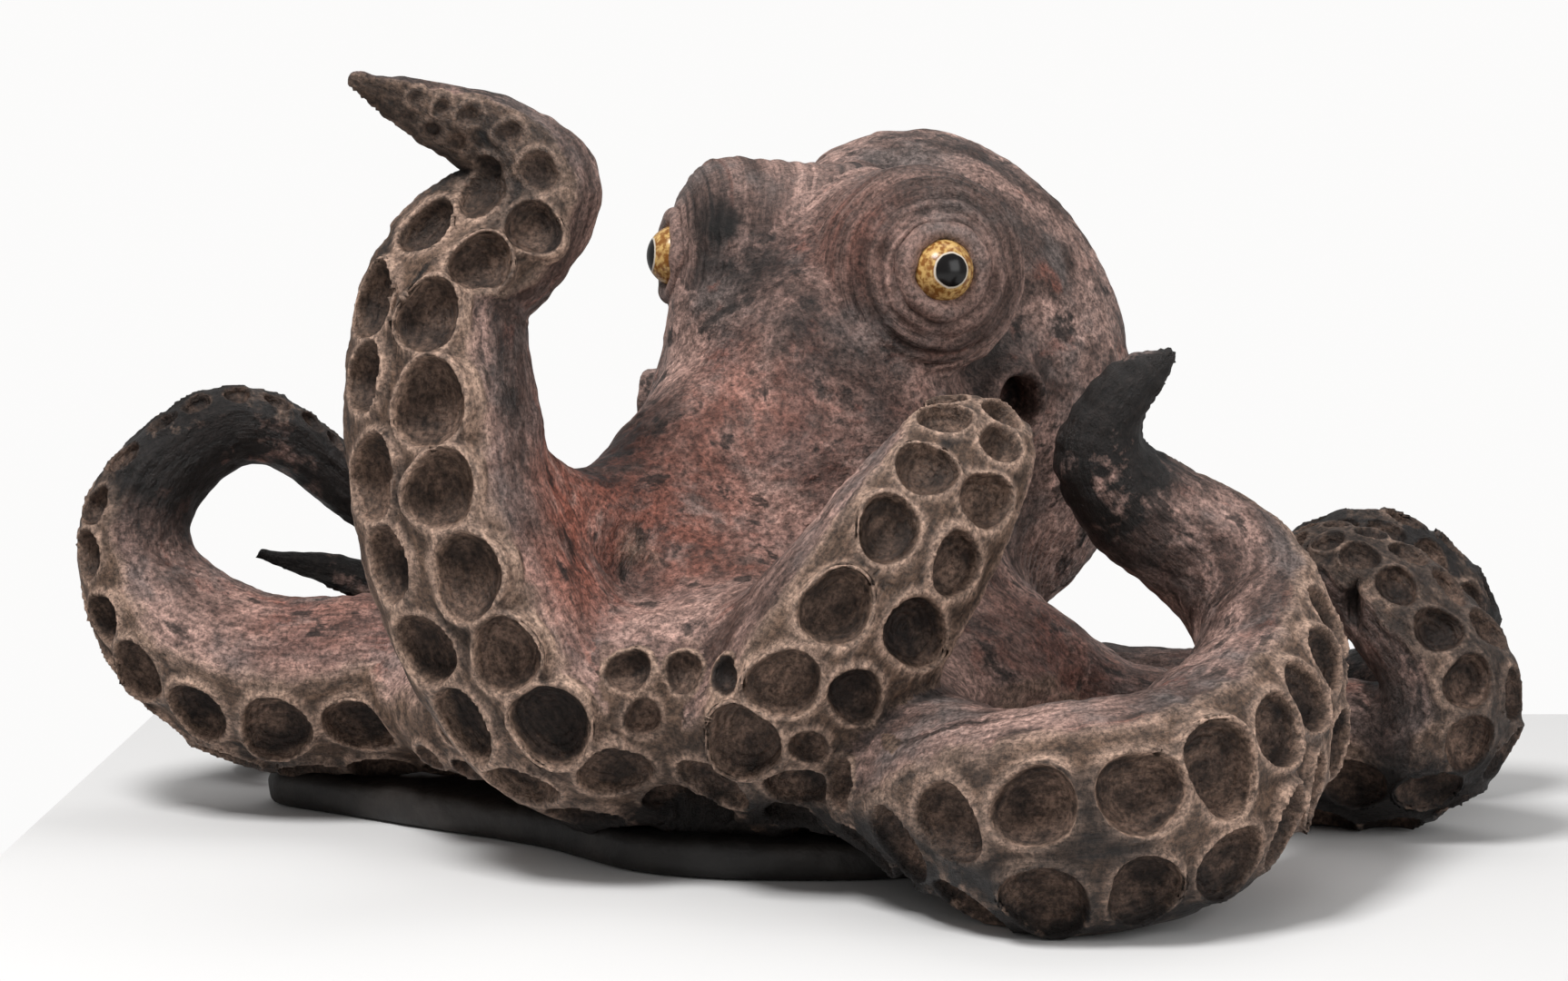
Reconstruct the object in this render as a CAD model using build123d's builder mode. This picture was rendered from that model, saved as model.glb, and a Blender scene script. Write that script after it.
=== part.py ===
from build123d import *
import math
import os

# Hand-built stoneware octopus: a hollow head and mantle on a webbed crown, eight solid arms
# luted round it, a pressed sucker strip along each arm, and glazed eyes set in coiled turrets.
# Millimetres, +Z up. The origin is on the table under the middle of the crown, -Y faces the viewer.

os.makedirs("parts", exist_ok=True)

# Base slab that the crown and the arm roots stand on
slab_thickness = 12.0
vent_radius = 12.0
vent_centre = (-34, 28)

# Crown: the web that joins the arm roots and carries the neck
crown_foot_radius = 90.0
crown_rim_radius = 100.0
crown_rim_height = 56.0
crown_flare = 6.0
crown_wall = 12.0
neck_radius = 54.0
neck_height = 110.0

# Web folds: thick rolls of clay between neighbouring arms, as points and a radius
web_folds = [
    (23.0, [(-22, -18, 118), (-54, -50, 94), (-77, -73, 100)]),
    (18.0, [(-72, -92, 62), (-40, -104, 60), (-2, -112, 62)]),
    (14.0, [(28, -116, 46), (48, -126, 27), (62, -136, 30)]),
    (16.0, [(-62, -84, 46), (-100, -42, 42), (-128, -6, 42)]),
    (24.0, [(8, -30, 92), (-14, -72, 66), (-12, -92, 60)]),
]

# Head and mantle: hollow eggs that open into each other
clay_wall = 9.0
head_centre = Vector(12, 6, 130)
head_radius = 47.0
head_half_height = 66.0
head_cap_radius = 37.0
mantle_centre = Vector(52, 78, 138)
mantle_axis = Vector(-0.25, -0.16, 1)
mantle_radius = 67.0
mantle_half_length = 88.0
mantle_cap_radius = 50.0

# Eyes: the middle of each eyeball and the way it looks
right_eye = Vector(49.5, -30, 180)
right_look = Vector(0.31, -0.95, 0.05)
left_eye = Vector(-35, 20, 183)
left_look = Vector(-0.97, -0.2, 0.05)
eyeball_radius = 10.0
eye_clearance = 0.2
lid_radius = 12.5
lid_roll_radius = 3.4
lid_lift_share = 0.5

# Turrets: domed stubs behind the eyes, measured back from the middle of the eyeball
turret_radius = 32.0
turret_front_radius = 19.0
turret_shoulder = 22.0
turret_length = 56.0
turret_bulge_share = 0.88
turret_bulge_drop_share = 0.32

# Siphons: one short tube on each cheek
right_siphon_mouth = Vector(77, 2, 135)
right_siphon_way = Vector(0.5, -0.85, -0.1)
left_siphon_mouth = Vector(-48, 42, 131)
left_siphon_way = Vector(-0.98, 0, -0.1)
siphon_radius = 12.0
siphon_bore_radius = 8.0
siphon_bore_depth = 14.0
siphon_length = 60.0

# Arm section: a round back with a flat seat for the sucker strip, as shares of its half width
seat_share = 0.34
strip_rise_share = 0.75
slip_gap = 0.2

# Suckers: two rows of pressed cups, as shares of the half width where each one sits
cup_row_share = 0.43
cup_step_share = 0.84
cup_ball_share = 0.41
cup_centre_share = 0.88
first_cup = 0.15
last_cup = 0.9

# Block of table below the origin that trims the arms flat
table_width = 1000.0
table_depth = 100.0

# Each arm from root to tip: points, the half width there and the way the suckers face
arm_routes = {
    "tall_left": [
        (-18, -35, 38, 27, (-0.3, -0.6, -0.7)),
        (-46, -78, 38, 28, (-0.3, -0.8, -0.5)),
        (-70, -97, 51, 30, (-0.5, -0.8, -0.3)),
        (-86, -98, 77, 31, (-0.6, -0.8, -0.1)),
        (-97, -95, 105, 31, (-0.65, -0.75, 0)),
        (-102, -90, 133, 30.5, (-0.65, -0.75, 0)),
        (-104, -86, 158, 28.5, (-0.65, -0.75, 0)),
        (-99, -81, 179, 25, (-0.65, -0.75, 0)),
        (-75, -76, 207, 19.5, (-0.5, -0.85, -0.1)),
        (-83, -78, 219, 13.5, (-0.2, -0.9, -0.3)),
        (-101, -82, 228, 9.5, (0, -0.9, -0.4)),
        (-116, -85, 234, 6, (0, -0.9, -0.4)),
        (-127, -88, 239, 2.5, (0, -0.9, -0.4)),
    ],
    "front": [
        (-1, -50, 40, 26, (-0.1, -0.75, -0.65)),
        (-5, -92, 42, 28, (-0.1, -0.8, -0.6)),
        (3, -118, 56, 30, (0.1, -0.9, -0.4)),
        (18, -125, 79, 29, (0.2, -0.95, -0.25)),
        (34, -120, 101, 26, (0.2, -0.95, -0.1)),
        (46, -111, 117, 22.5, (0.2, -0.95, 0.1)),
        (54, -98, 127, 19.5, (0.1, -0.75, 0.6)),
        (57, -80, 129, 16, (0.05, 0.1, 1)),
        (58, -63, 122, 12, (0, 0.8, 0.6)),
        (58, -54, 110, 6, (0, 1, 0)),
    ],
    "left_curl": [
        (-28, 0, 42, 26, (0, -0.6, -0.8)),
        (-66, -5, 43, 28, (0, -0.6, -0.8)),
        (-102, 0, 42, 30, (0, -0.65, -0.75)),
        (-135, 6, 42, 30.5, (0, -0.65, -0.75)),
        (-170, 8, 42, 30.5, (-0.1, -0.6, -0.8)),
        (-196, 14, 54, 27.5, (-0.55, -0.45, -0.7)),
        (-214, 22, 75, 21.5, (-0.9, -0.35, -0.2)),
        (-216, 26, 95, 19, (-0.95, -0.3, 0.1)),
        (-204, 30, 115, 17, (-0.7, -0.2, 0.7)),
        (-182, 34, 127, 14.5, (0, -0.1, 1)),
        (-160, 38, 119, 12, (0.6, 0, 0.75)),
        (-144, 43, 103, 10.5, (0.7, 0, 0.7)),
        (-128, 48, 91, 9.5, (0.8, 0, 0.6)),
        (-120, 52, 80, 9, (1, 0, 0)),
        (-129, 54, 71, 8.5, (0.3, 0, -0.95)),
        (-144, 53, 72, 7.5, (0, 0, -1)),
        (-161, 50, 77, 5.5, (0, 0, -1)),
        (-176, 48, 81, 2.5, (0, 0, -1)),
    ],
    "front_right": [
        (12, -40, 38, 26, (0.1, -0.8, -0.6)),
        (32, -98, 34, 28, (0.2, -0.85, -0.5)),
        (52, -148, 31, 30, (0.2, -0.9, -0.35)),
        (76, -172, 32, 32, (0.1, -0.97, -0.2)),
        (104, -165, 35, 32, (0.35, -0.92, -0.1)),
        (129, -135, 44, 30, (0.75, -0.65, 0)),
        (146, -97, 58, 26.5, (0.95, -0.2, 0.2)),
        (145, -67, 79, 22.5, (0.6, 0.6, 0.5)),
        (128, -62, 96, 19.5, (0.1, 0.9, 0.4)),
        (107, -70, 110, 17, (0, 0.9, 0.4)),
        (96, -76, 125, 13.5, (0.1, 1, 0.1)),
        (98, -79, 139, 10.5, (0.2, 1, 0)),
        (106, -81, 149, 7.5, (0.2, 1, 0)),
        (115, -82, 156, 2.5, (0.2, 1, 0)),
    ],
    "right_coil": [
        (29, -10, 40, 26, (0.1, -0.7, -0.7)),
        (63, -20, 38, 27, (0.1, -0.7, -0.7)),
        (95, -20, 32, 25, (0.1, -0.6, -0.8)),
        (131, -16, 26, 24.5, (0.1, -0.6, -0.8)),
        (166, -17, 25, 25, (0.3, -0.7, -0.7)),
        (203, -28, 28, 25, (0.6, -0.7, -0.4)),
        (211, -36, 46, 22.5, (0.65, -0.75, 0)),
        (205, -33, 61, 20, (0.6, -0.75, 0.3)),
        (192, -26, 76, 18, (0.45, -0.7, 0.55)),
        (178, -12, 85, 15, (0.1, -0.5, 0.85)),
        (167, 4, 82, 12, (-0.6, -0.2, 0.7)),
        (162, 14, 71, 9, (-1, 0, 0.1)),
        (166, 18, 60, 6, (-0.7, 0.2, -0.7)),
        (175, 17, 54, 2.5, (-0.2, 0.2, -1)),
    ],
    "right_loop": [
        (28, 38, 38, 22, (0, 0, -1)),
        (68, 68, 27, 23, (0, 0, -1)),
        (113, 78, 23, 23, (0, 0, -1)),
        (153, 72, 22, 22, (0, -0.1, -1)),
        (188, 56, 23, 22, (0.3, -0.3, -0.9)),
        (213, 42, 37, 21, (0.8, -0.45, -0.4)),
        (222, 35, 56, 20, (0.85, -0.5, 0.15)),
        (212, 34, 74, 19, (0.65, -0.45, 0.6)),
        (193, 36, 83, 17, (0, -0.3, 1)),
        (175, 42, 79, 13, (-0.6, -0.2, 0.75)),
        (164, 48, 69, 8, (-1, 0, 0.2)),
        (162, 52, 58, 3, (-1, 0, 0)),
    ],
    "rear": [
        (6, 40, 40, 25, (0, 0, -1)),
        (20, 90, 33, 27, (0, 0, -1)),
        (27, 130, 26, 26, (0, 0, -1)),
        (18, 162, 25, 25, (0, 0, -1)),
        (-8, 179, 23, 23, (0, 0, -1)),
        (-38, 180, 21, 19, (0, 0, -1)),
        (-62, 166, 18, 14, (0, 0, -1)),
        (-70, 143, 14, 8, (0, 0, -1)),
        (-58, 126, 12, 2.5, (0, 0, -1)),
    ],
    "rear_left": [
        (-26, 32, 40, 25, (0, 0, -1)),
        (-62, 76, 34, 27, (0, 0, -1)),
        (-98, 108, 26, 26, (0, 0, -1)),
        (-130, 122, 24, 24, (0, 0, -1)),
        (-160, 118, 21, 20, (0, 0, -1)),
        (-182, 102, 18, 14, (0, 0, -1)),
        (-186, 80, 14, 8, (0, 0, -1)),
        (-174, 64, 12, 2.5, (0, 0, -1)),
    ],
}

# Outline of the slab: points of a closed smooth curve
slab_outline = [
    (-172, 26), (-154, 8), (-110, -26), (-74, -56), (-46, -90), (4, -104), (52, -94),
    (84, -54), (94, 0), (80, 58), (32, 92), (-40, 94), (-110, 82), (-156, 58),
]


def stations(points):
    """Section plane, half width and share of length along an arm, with one between each two points.

    In a section +X runs across the arm and +Y is the way the suckers face.
    """
    places = [Vector(x, y, z) for x, y, z, half, facing in points]
    path = Edge.make_spline(places)
    marks = [path.param_at_point(place) for place in places]
    sections = []
    for i in range(2 * len(points) - 1):
        first, last = i // 2, (i + 1) // 2
        mark = (marks[first] + marks[last]) / 2
        ahead = path.tangent_at(mark)
        facing = (Vector(*points[first][4]) + Vector(*points[last][4])) / 2
        facing = (facing - ahead * facing.dot(ahead)).normalized()
        half = (points[first][3] + points[last][3]) / 2
        plane = Plane(origin=path.position_at(mark), x_dir=facing.cross(ahead), z_dir=ahead)
        sections.append((plane, half, mark))
    return sections


def banded_loft(sections, lift, crest):
    """Loft of a chord at the seat, raised by lift, closed by an arc through crest half widths."""
    chord_share = (1 - seat_share**2) ** 0.5
    with BuildPart() as band:
        for plane, half, mark in sections:
            with BuildSketch(plane):
                with BuildLine():
                    right = (half * chord_share, half * seat_share + lift)
                    left = (-right[0], right[1])
                    ThreePointArc(right, (0, half * crest + lift), left)
                    Line(left, right)
                make_face()
        loft(ruled=True)
    return band.part


def cup_balls(sections):
    """Balls that press the two rows of cups into a strip."""
    length = sum((b[0].origin - a[0].origin).length for a, b in zip(sections, sections[1:]))
    balls = []
    mark = first_cup
    while mark < last_cup:
        i = max(k for k, section in enumerate(sections) if section[2] <= mark)
        (near, wide, start), (far, narrow, end) = sections[i], sections[i + 1]
        t = (mark - start) / (end - start)
        half = wide + (narrow - wide) * t
        across = (near.x_dir + (far.x_dir - near.x_dir) * t).normalized()
        facing = (near.y_dir + (far.y_dir - near.y_dir) * t).normalized()
        middle = near.origin + (far.origin - near.origin) * t + facing * half * cup_centre_share
        for side in (-1, 1):
            balls.append(Pos(middle + across * side * half * cup_row_share) * Sphere(half * cup_ball_share))
        mark += half * cup_step_share / length
    return balls


def egg(centre, axis, radius, half_length, cap_radius):
    """Solid egg of revolution about an axis: round caps blended into a flatter waist."""
    rise = half_length - cap_radius
    waist = radius - cap_radius
    inset = (rise**2 - waist**2) / (2 * waist)
    slope = math.atan2(rise, inset)
    blend = (cap_radius * math.cos(slope), rise + cap_radius * math.sin(slope))
    lean = (slope + math.pi / 2) / 2
    crown = (cap_radius * math.cos(lean), rise + cap_radius * math.sin(lean))
    upright = Plane(origin=centre, z_dir=axis)
    with BuildPart() as form:
        with BuildSketch(Plane(origin=centre, x_dir=upright.x_dir, z_dir=-upright.y_dir)):
            with BuildLine():
                ThreePointArc((0, half_length), crown, blend)
                ThreePointArc(blend, (radius, 0), (blend[0], -blend[1]))
                ThreePointArc((blend[0], -blend[1]), (crown[0], -crown[1]), (0, -half_length))
                Line((0, -half_length), (0, half_length))
            make_face()
        revolve(axis=Axis(centre, axis))
    return form.part


def hollow_egg(centre, axis, radius, half_length, cap_radius):
    """The space that an even clay wall leaves inside an egg."""
    return egg(centre, axis, radius - clay_wall, half_length - clay_wall, cap_radius - clay_wall)


def fold_roll(radius, points):
    """Round roll of clay through a few points."""
    with BuildPart() as roll:
        for first, last in zip(points, points[1:]):
            run = Vector(*last) - Vector(*first)
            with BuildSketch(Plane(origin=first, z_dir=run)):
                Circle(radius)
            extrude(amount=run.length)
        with Locations(*points):
            Sphere(radius)
    return roll.part


def reach(a, b):
    """True where the boxes round two solids meet."""
    p, q = a.bounding_box(), b.bounding_box()
    return all(
        getattr(p.min, k) <= getattr(q.max, k) and getattr(q.min, k) <= getattr(p.max, k) for k in "XYZ"
    )


def clear_of(solid, others):
    """Largest piece of a solid that is left outside the others."""
    left = solid
    for other in others:
        if reach(left, other):
            left = left - other
    return left.solids().sort_by(SortBy.VOLUME)[-1]


def keep(solid, name):
    """Name a finished piece and write it."""
    solid.label = name
    export_step(solid, f"parts/{name}.step")


# Base slab, with a vent under the hollow crown
with BuildPart() as base_slab:
    with BuildSketch():
        with BuildLine():
            Spline(*slab_outline, periodic=True)
        make_face()
        with Locations(vent_centre):
            Circle(vent_radius, mode=Mode.SUBTRACT)
    extrude(amount=slab_thickness)
keep(base_slab.part, "base_slab")

# Crown: outside as a filled form, then hollowed to an even wall
with BuildPart() as crown_form:
    with BuildSketch(Plane.XZ):
        with BuildLine():
            rim = (crown_rim_radius, crown_rim_height)
            neck = (neck_radius, neck_height)
            dip = ((rim[0] + neck[0]) / 2 - crown_flare, (rim[1] + neck[1]) / 2 - crown_flare)
            Polyline((0, neck_height), (0, slab_thickness), (crown_foot_radius, slab_thickness), rim)
            ThreePointArc(rim, dip, neck)
            Line(neck, (0, neck_height))
        make_face()
    revolve(axis=Axis.Z)

with BuildPart() as crown_hollow:
    with BuildSketch(Plane.XZ):
        with BuildLine():
            inner_foot = crown_foot_radius - crown_wall
            inner_neck = neck_radius - crown_wall
            shoulder = crown_rim_height - crown_wall
            Polyline(
                (0, slab_thickness), (inner_foot, slab_thickness), (inner_foot, shoulder),
                (inner_neck, neck_height - crown_wall), (inner_neck, neck_height), (0, neck_height), close=True,
            )
        make_face()
    revolve(axis=Axis.Z)

# Head and mantle shells
head_sizes = (head_centre, Vector(0, 0, 1), head_radius, head_half_height, head_cap_radius)
mantle_sizes = (mantle_centre, mantle_axis, mantle_radius, mantle_half_length, mantle_cap_radius)
head_form = egg(*head_sizes)
head_hollow = hollow_egg(*head_sizes)
mantle_form = egg(*mantle_sizes)
mantle_hollow = hollow_egg(*mantle_sizes)
head_shell = clear_of(head_form, [head_hollow, mantle_hollow, crown_form.part])
keep(head_shell, "head_shell")
mantle_shell = clear_of(mantle_form, [mantle_hollow, head_form, crown_form.part])
keep(mantle_shell, "mantle_shell")
bodies = [crown_form.part, head_form, mantle_form]

# Eyes: turret, eyeball and rolled lid, then the siphon, on each side
trims = []
for side, eye, look, mouth, way in (
    ("right", right_eye, right_look, right_siphon_mouth, right_siphon_way),
    ("left", left_eye, left_look, left_siphon_mouth, left_siphon_way),
):
    facing = Plane(origin=eye, z_dir=look)
    profile = Plane(origin=eye, x_dir=facing.x_dir, z_dir=-facing.y_dir)
    with BuildPart() as socket:
        with Locations(eye):
            Sphere(eyeball_radius + eye_clearance)
    with BuildPart() as turret:
        with BuildSketch(profile):
            with BuildLine():
                front = (turret_front_radius, 0)
                back = (turret_radius, -turret_shoulder)
                Polyline(back, (turret_radius, -turret_length), (0, -turret_length), (0, 0), front)
                ThreePointArc(front, (turret_radius * turret_bulge_share, -turret_shoulder * turret_bulge_drop_share), back)
            make_face()
        revolve(axis=Axis(eye, look))
    turret_form = turret.part
    turret_stub = clear_of(turret_form, bodies + trims + [socket.part])
    keep(turret_stub, f"turret_{side}")

    with BuildPart() as eyeball:
        with Locations(eye):
            Sphere(eyeball_radius)
    keep(eyeball.part, f"eyeball_{side}")

    with BuildPart() as lid_roll:
        with BuildSketch(profile):
            with Locations((lid_radius, lid_roll_radius * lid_lift_share)):
                Circle(lid_roll_radius)
        revolve(axis=Axis(eye, look))
    lid = clear_of(lid_roll.part, [turret_form, socket.part])
    keep(lid, f"lid_{side}")

    with BuildPart() as siphon_tube:
        with BuildSketch(Plane(origin=mouth, z_dir=way)):
            Circle(siphon_radius)
        extrude(amount=-siphon_length)
        with BuildSketch(Plane(origin=mouth, z_dir=way)):
            Circle(siphon_bore_radius)
        extrude(amount=-siphon_bore_depth, mode=Mode.SUBTRACT)
    siphon = clear_of(siphon_tube.part, bodies + [turret_form])
    keep(siphon, f"siphon_{side}")
    trims += [turret_stub, lid, siphon]

# Arms: each is cut back by what was laid down before it and trimmed flat on the table
with BuildPart() as table:
    Box(table_width, table_width, table_depth, align=(Align.CENTER, Align.CENTER, Align.MAX))
laid = bodies + [base_slab.part, table.part] + trims
folds_stop = [base_slab.part] + trims
for name, points in arm_routes.items():
    sections = stations(points)
    back = clear_of(banded_loft(sections, 0, -1), laid)
    strip = clear_of(banded_loft(sections, slip_gap, strip_rise_share), laid)
    laid += [back, strip]
    keep(back, f"arm_{name}")
    with BuildPart() as suckers:
        add(strip)
        add(cup_balls(sections), mode=Mode.SUBTRACT)
    keep(suckers.part.solids().sort_by(SortBy.VOLUME)[-1], f"suckers_{name}")
    folds_stop += [back, strip]

# Crown web: the hollow crown with its folds, which fill in between the arms
crown_web = crown_form.part - crown_hollow.part
for radius, points in web_folds:
    fold = clear_of(fold_roll(radius, points), [crown_hollow.part, head_form, mantle_form] + folds_stop)
    crown_web = crown_web + fold
keep(crown_web.solids().sort_by(SortBy.VOLUME)[-1], "crown_web")
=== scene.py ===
# %% [markdown]
# # A smoke-fired stoneware octopus
# The real figure is built by hand from coarse clay: a hollow head and mantle sit on a webbed crown,
# eight thick arms curl out of it, and every arm carries two rows of thumb-pressed suckers.
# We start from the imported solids. They fix where everything is, and each mesh made here stands in for
# one or more of them, in metres and in the same frame.

# %% Load the frame
import math
import bpy
import numpy as np
import openvdb
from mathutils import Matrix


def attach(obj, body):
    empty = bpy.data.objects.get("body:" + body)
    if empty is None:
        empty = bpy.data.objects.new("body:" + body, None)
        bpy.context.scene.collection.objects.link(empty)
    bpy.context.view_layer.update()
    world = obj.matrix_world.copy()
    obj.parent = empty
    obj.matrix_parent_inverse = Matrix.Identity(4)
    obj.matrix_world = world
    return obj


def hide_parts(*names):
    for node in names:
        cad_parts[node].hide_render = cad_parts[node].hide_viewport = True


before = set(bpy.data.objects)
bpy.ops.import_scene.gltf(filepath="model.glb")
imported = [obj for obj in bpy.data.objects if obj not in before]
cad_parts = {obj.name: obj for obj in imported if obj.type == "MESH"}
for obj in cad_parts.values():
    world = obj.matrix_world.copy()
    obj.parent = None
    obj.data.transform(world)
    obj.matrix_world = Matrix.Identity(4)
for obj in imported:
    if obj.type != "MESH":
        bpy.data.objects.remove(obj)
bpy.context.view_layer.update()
scene = bpy.context.scene
MM = 0.001
print("solids in the frame:", len(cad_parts))

# %% [markdown]
# ## The camera
# The picture was taken with a long lens, at about the height of the figure's top. A camera that stands
# 1.17 m away and 222 mm up, tipped down by five and a half degrees, puts the arm tips where they are in the
# picture.

# %% Camera
PICTURE_WIDTH = 1726
FOCAL_PIXELS = 4000.0
CAMERA_MM = (0.0, -1172.0, 222.0)
TIP_DOWN = math.radians(5.57)
camera_data = bpy.data.cameras.new("camera")
camera_data.sensor_width = 36.0
camera_data.lens = FOCAL_PIXELS / PICTURE_WIDTH * camera_data.sensor_width
camera = bpy.data.objects.new("camera", camera_data)
camera.location = [c * MM for c in CAMERA_MM]
camera.rotation_euler = (math.pi / 2 - TIP_DOWN, 0, 0)
scene.collection.objects.link(camera)
scene.camera = camera
print("lens", round(camera_data.lens, 1), "mm")

# %% [markdown]
# ## Where the arms run
# Each arm is a route of points in millimetres: its place, its half width and the way the suckers face.
# They are the same points that the solids were built on, so the clay lies where the solids lie.

# %% Arm routes
ARMS = {
    "tall_left": [
        (-18, -35, 38, 27, (-0.3, -0.6, -0.7)), (-46, -78, 38, 28, (-0.3, -0.8, -0.5)),
        (-70, -97, 51, 30, (-0.5, -0.8, -0.3)), (-86, -98, 77, 31, (-0.6, -0.8, -0.1)),
        (-97, -95, 105, 31, (-0.65, -0.75, 0)), (-102, -90, 133, 30.5, (-0.65, -0.75, 0)),
        (-104, -86, 158, 28.5, (-0.65, -0.75, 0)), (-99, -81, 179, 25, (-0.65, -0.75, 0)),
        (-75, -76, 207, 19.5, (-0.5, -0.85, -0.1)), (-83, -78, 219, 13.5, (-0.2, -0.9, -0.3)),
        (-101, -82, 228, 9.5, (0, -0.9, -0.4)), (-116, -85, 234, 6, (0, -0.9, -0.4)),
        (-127, -88, 239, 2.5, (0, -0.9, -0.4)),
    ],
    "front": [
        (-1, -50, 40, 26, (-0.1, -0.75, -0.65)), (-5, -92, 42, 28, (-0.1, -0.8, -0.6)),
        (3, -118, 56, 30, (0.1, -0.9, -0.4)), (18, -125, 79, 29, (0.2, -0.95, -0.25)),
        (34, -120, 101, 26, (0.2, -0.95, -0.1)), (46, -111, 117, 22.5, (0.2, -0.95, 0.1)),
        (54, -98, 127, 19.5, (0.1, -0.75, 0.6)), (57, -80, 129, 16, (0.05, 0.1, 1)),
        (58, -63, 122, 12, (0, 0.8, 0.6)), (58, -54, 110, 6, (0, 1, 0)),
    ],
    "left_curl": [
        (-28, 0, 42, 26, (0, -0.6, -0.8)), (-66, -5, 43, 28, (0, -0.6, -0.8)),
        (-102, 0, 42, 30, (0, -0.65, -0.75)), (-135, 6, 42, 30.5, (0, -0.65, -0.75)),
        (-170, 8, 42, 30.5, (-0.1, -0.6, -0.8)), (-196, 14, 54, 27.5, (-0.55, -0.45, -0.7)),
        (-214, 22, 75, 21.5, (-0.9, -0.35, -0.2)), (-216, 26, 95, 19, (-0.95, -0.3, 0.1)),
        (-204, 30, 115, 17, (-0.7, -0.2, 0.7)), (-182, 34, 127, 14.5, (0, -0.1, 1)),
        (-160, 38, 119, 12, (0.6, 0, 0.75)), (-144, 43, 103, 10.5, (0.7, 0, 0.7)),
        (-128, 48, 91, 9.5, (0.8, 0, 0.6)), (-120, 52, 80, 9, (1, 0, 0)),
        (-129, 54, 71, 8.5, (0.3, 0, -0.95)), (-144, 53, 72, 7.5, (0, 0, -1)),
        (-161, 50, 77, 5.5, (0, 0, -1)), (-176, 48, 81, 2.5, (0, 0, -1)),
    ],
    "front_right": [
        (12, -40, 38, 26, (0.1, -0.8, -0.6)), (32, -98, 34, 28, (0.2, -0.85, -0.5)),
        (52, -148, 31, 30, (0.2, -0.9, -0.35)), (76, -172, 32, 32, (0.1, -0.97, -0.2)),
        (104, -165, 35, 32, (0.35, -0.92, -0.1)), (129, -135, 44, 30, (0.75, -0.65, 0)),
        (146, -97, 58, 26.5, (0.95, -0.2, 0.2)), (145, -67, 79, 22.5, (0.6, 0.6, 0.5)),
        (128, -62, 96, 19.5, (0.1, 0.9, 0.4)), (107, -70, 110, 17, (0, 0.9, 0.4)),
        (96, -76, 125, 13.5, (0.1, 1, 0.1)), (98, -79, 139, 10.5, (0.2, 1, 0)),
        (106, -81, 149, 7.5, (0.2, 1, 0)), (115, -82, 156, 2.5, (0.2, 1, 0)),
    ],
    "right_coil": [
        (29, -10, 40, 26, (0.1, -0.7, -0.7)), (63, -20, 38, 27, (0.1, -0.7, -0.7)),
        (95, -20, 32, 25, (0.1, -0.6, -0.8)), (131, -16, 26, 24.5, (0.1, -0.6, -0.8)),
        (166, -17, 25, 25, (0.3, -0.7, -0.7)), (203, -28, 28, 25, (0.6, -0.7, -0.4)),
        (211, -36, 46, 22.5, (0.65, -0.75, 0)), (205, -33, 61, 20, (0.6, -0.75, 0.3)),
        (192, -26, 76, 18, (0.45, -0.7, 0.55)), (178, -12, 85, 15, (0.1, -0.5, 0.85)),
        (167, 4, 82, 12, (-0.6, -0.2, 0.7)), (162, 14, 71, 9, (-1, 0, 0.1)),
        (166, 18, 60, 6, (-0.7, 0.2, -0.7)), (175, 17, 54, 2.5, (-0.2, 0.2, -1)),
    ],
    "right_loop": [
        (28, 38, 38, 22, (0, 0, -1)), (68, 68, 27, 23, (0, 0, -1)), (113, 78, 23, 23, (0, 0, -1)),
        (153, 72, 22, 22, (0, -0.1, -1)), (188, 56, 23, 22, (0.3, -0.3, -0.9)),
        (213, 42, 37, 21, (0.8, -0.45, -0.4)), (222, 35, 56, 20, (0.85, -0.5, 0.15)),
        (212, 34, 74, 19, (0.65, -0.45, 0.6)), (193, 36, 83, 17, (0, -0.3, 1)),
        (175, 42, 79, 13, (-0.6, -0.2, 0.75)), (164, 48, 69, 8, (-1, 0, 0.2)), (162, 52, 58, 3, (-1, 0, 0)),
    ],
    "rear": [
        (6, 40, 40, 25, (0, 0, -1)), (20, 90, 33, 27, (0, 0, -1)), (27, 130, 26, 26, (0, 0, -1)),
        (18, 162, 25, 25, (0, 0, -1)), (-8, 179, 23, 23, (0, 0, -1)), (-38, 180, 21, 19, (0, 0, -1)),
        (-62, 166, 18, 14, (0, 0, -1)), (-70, 143, 14, 8, (0, 0, -1)), (-58, 126, 12, 2.5, (0, 0, -1)),
    ],
    "rear_left": [
        (-26, 32, 40, 25, (0, 0, -1)), (-62, 76, 34, 27, (0, 0, -1)), (-98, 108, 26, 26, (0, 0, -1)),
        (-130, 122, 24, 24, (0, 0, -1)), (-160, 118, 21, 20, (0, 0, -1)), (-182, 102, 18, 14, (0, 0, -1)),
        (-186, 80, 14, 8, (0, 0, -1)), (-174, 64, 12, 2.5, (0, 0, -1)),
    ],
}
print("arms:", ", ".join(ARMS))

# %% [markdown]
# A rolled clay arm bends evenly, so a natural cubic curve through the points gives the centre line.
# Beside it we keep the half width, the way the suckers face and the way across them.

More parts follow.
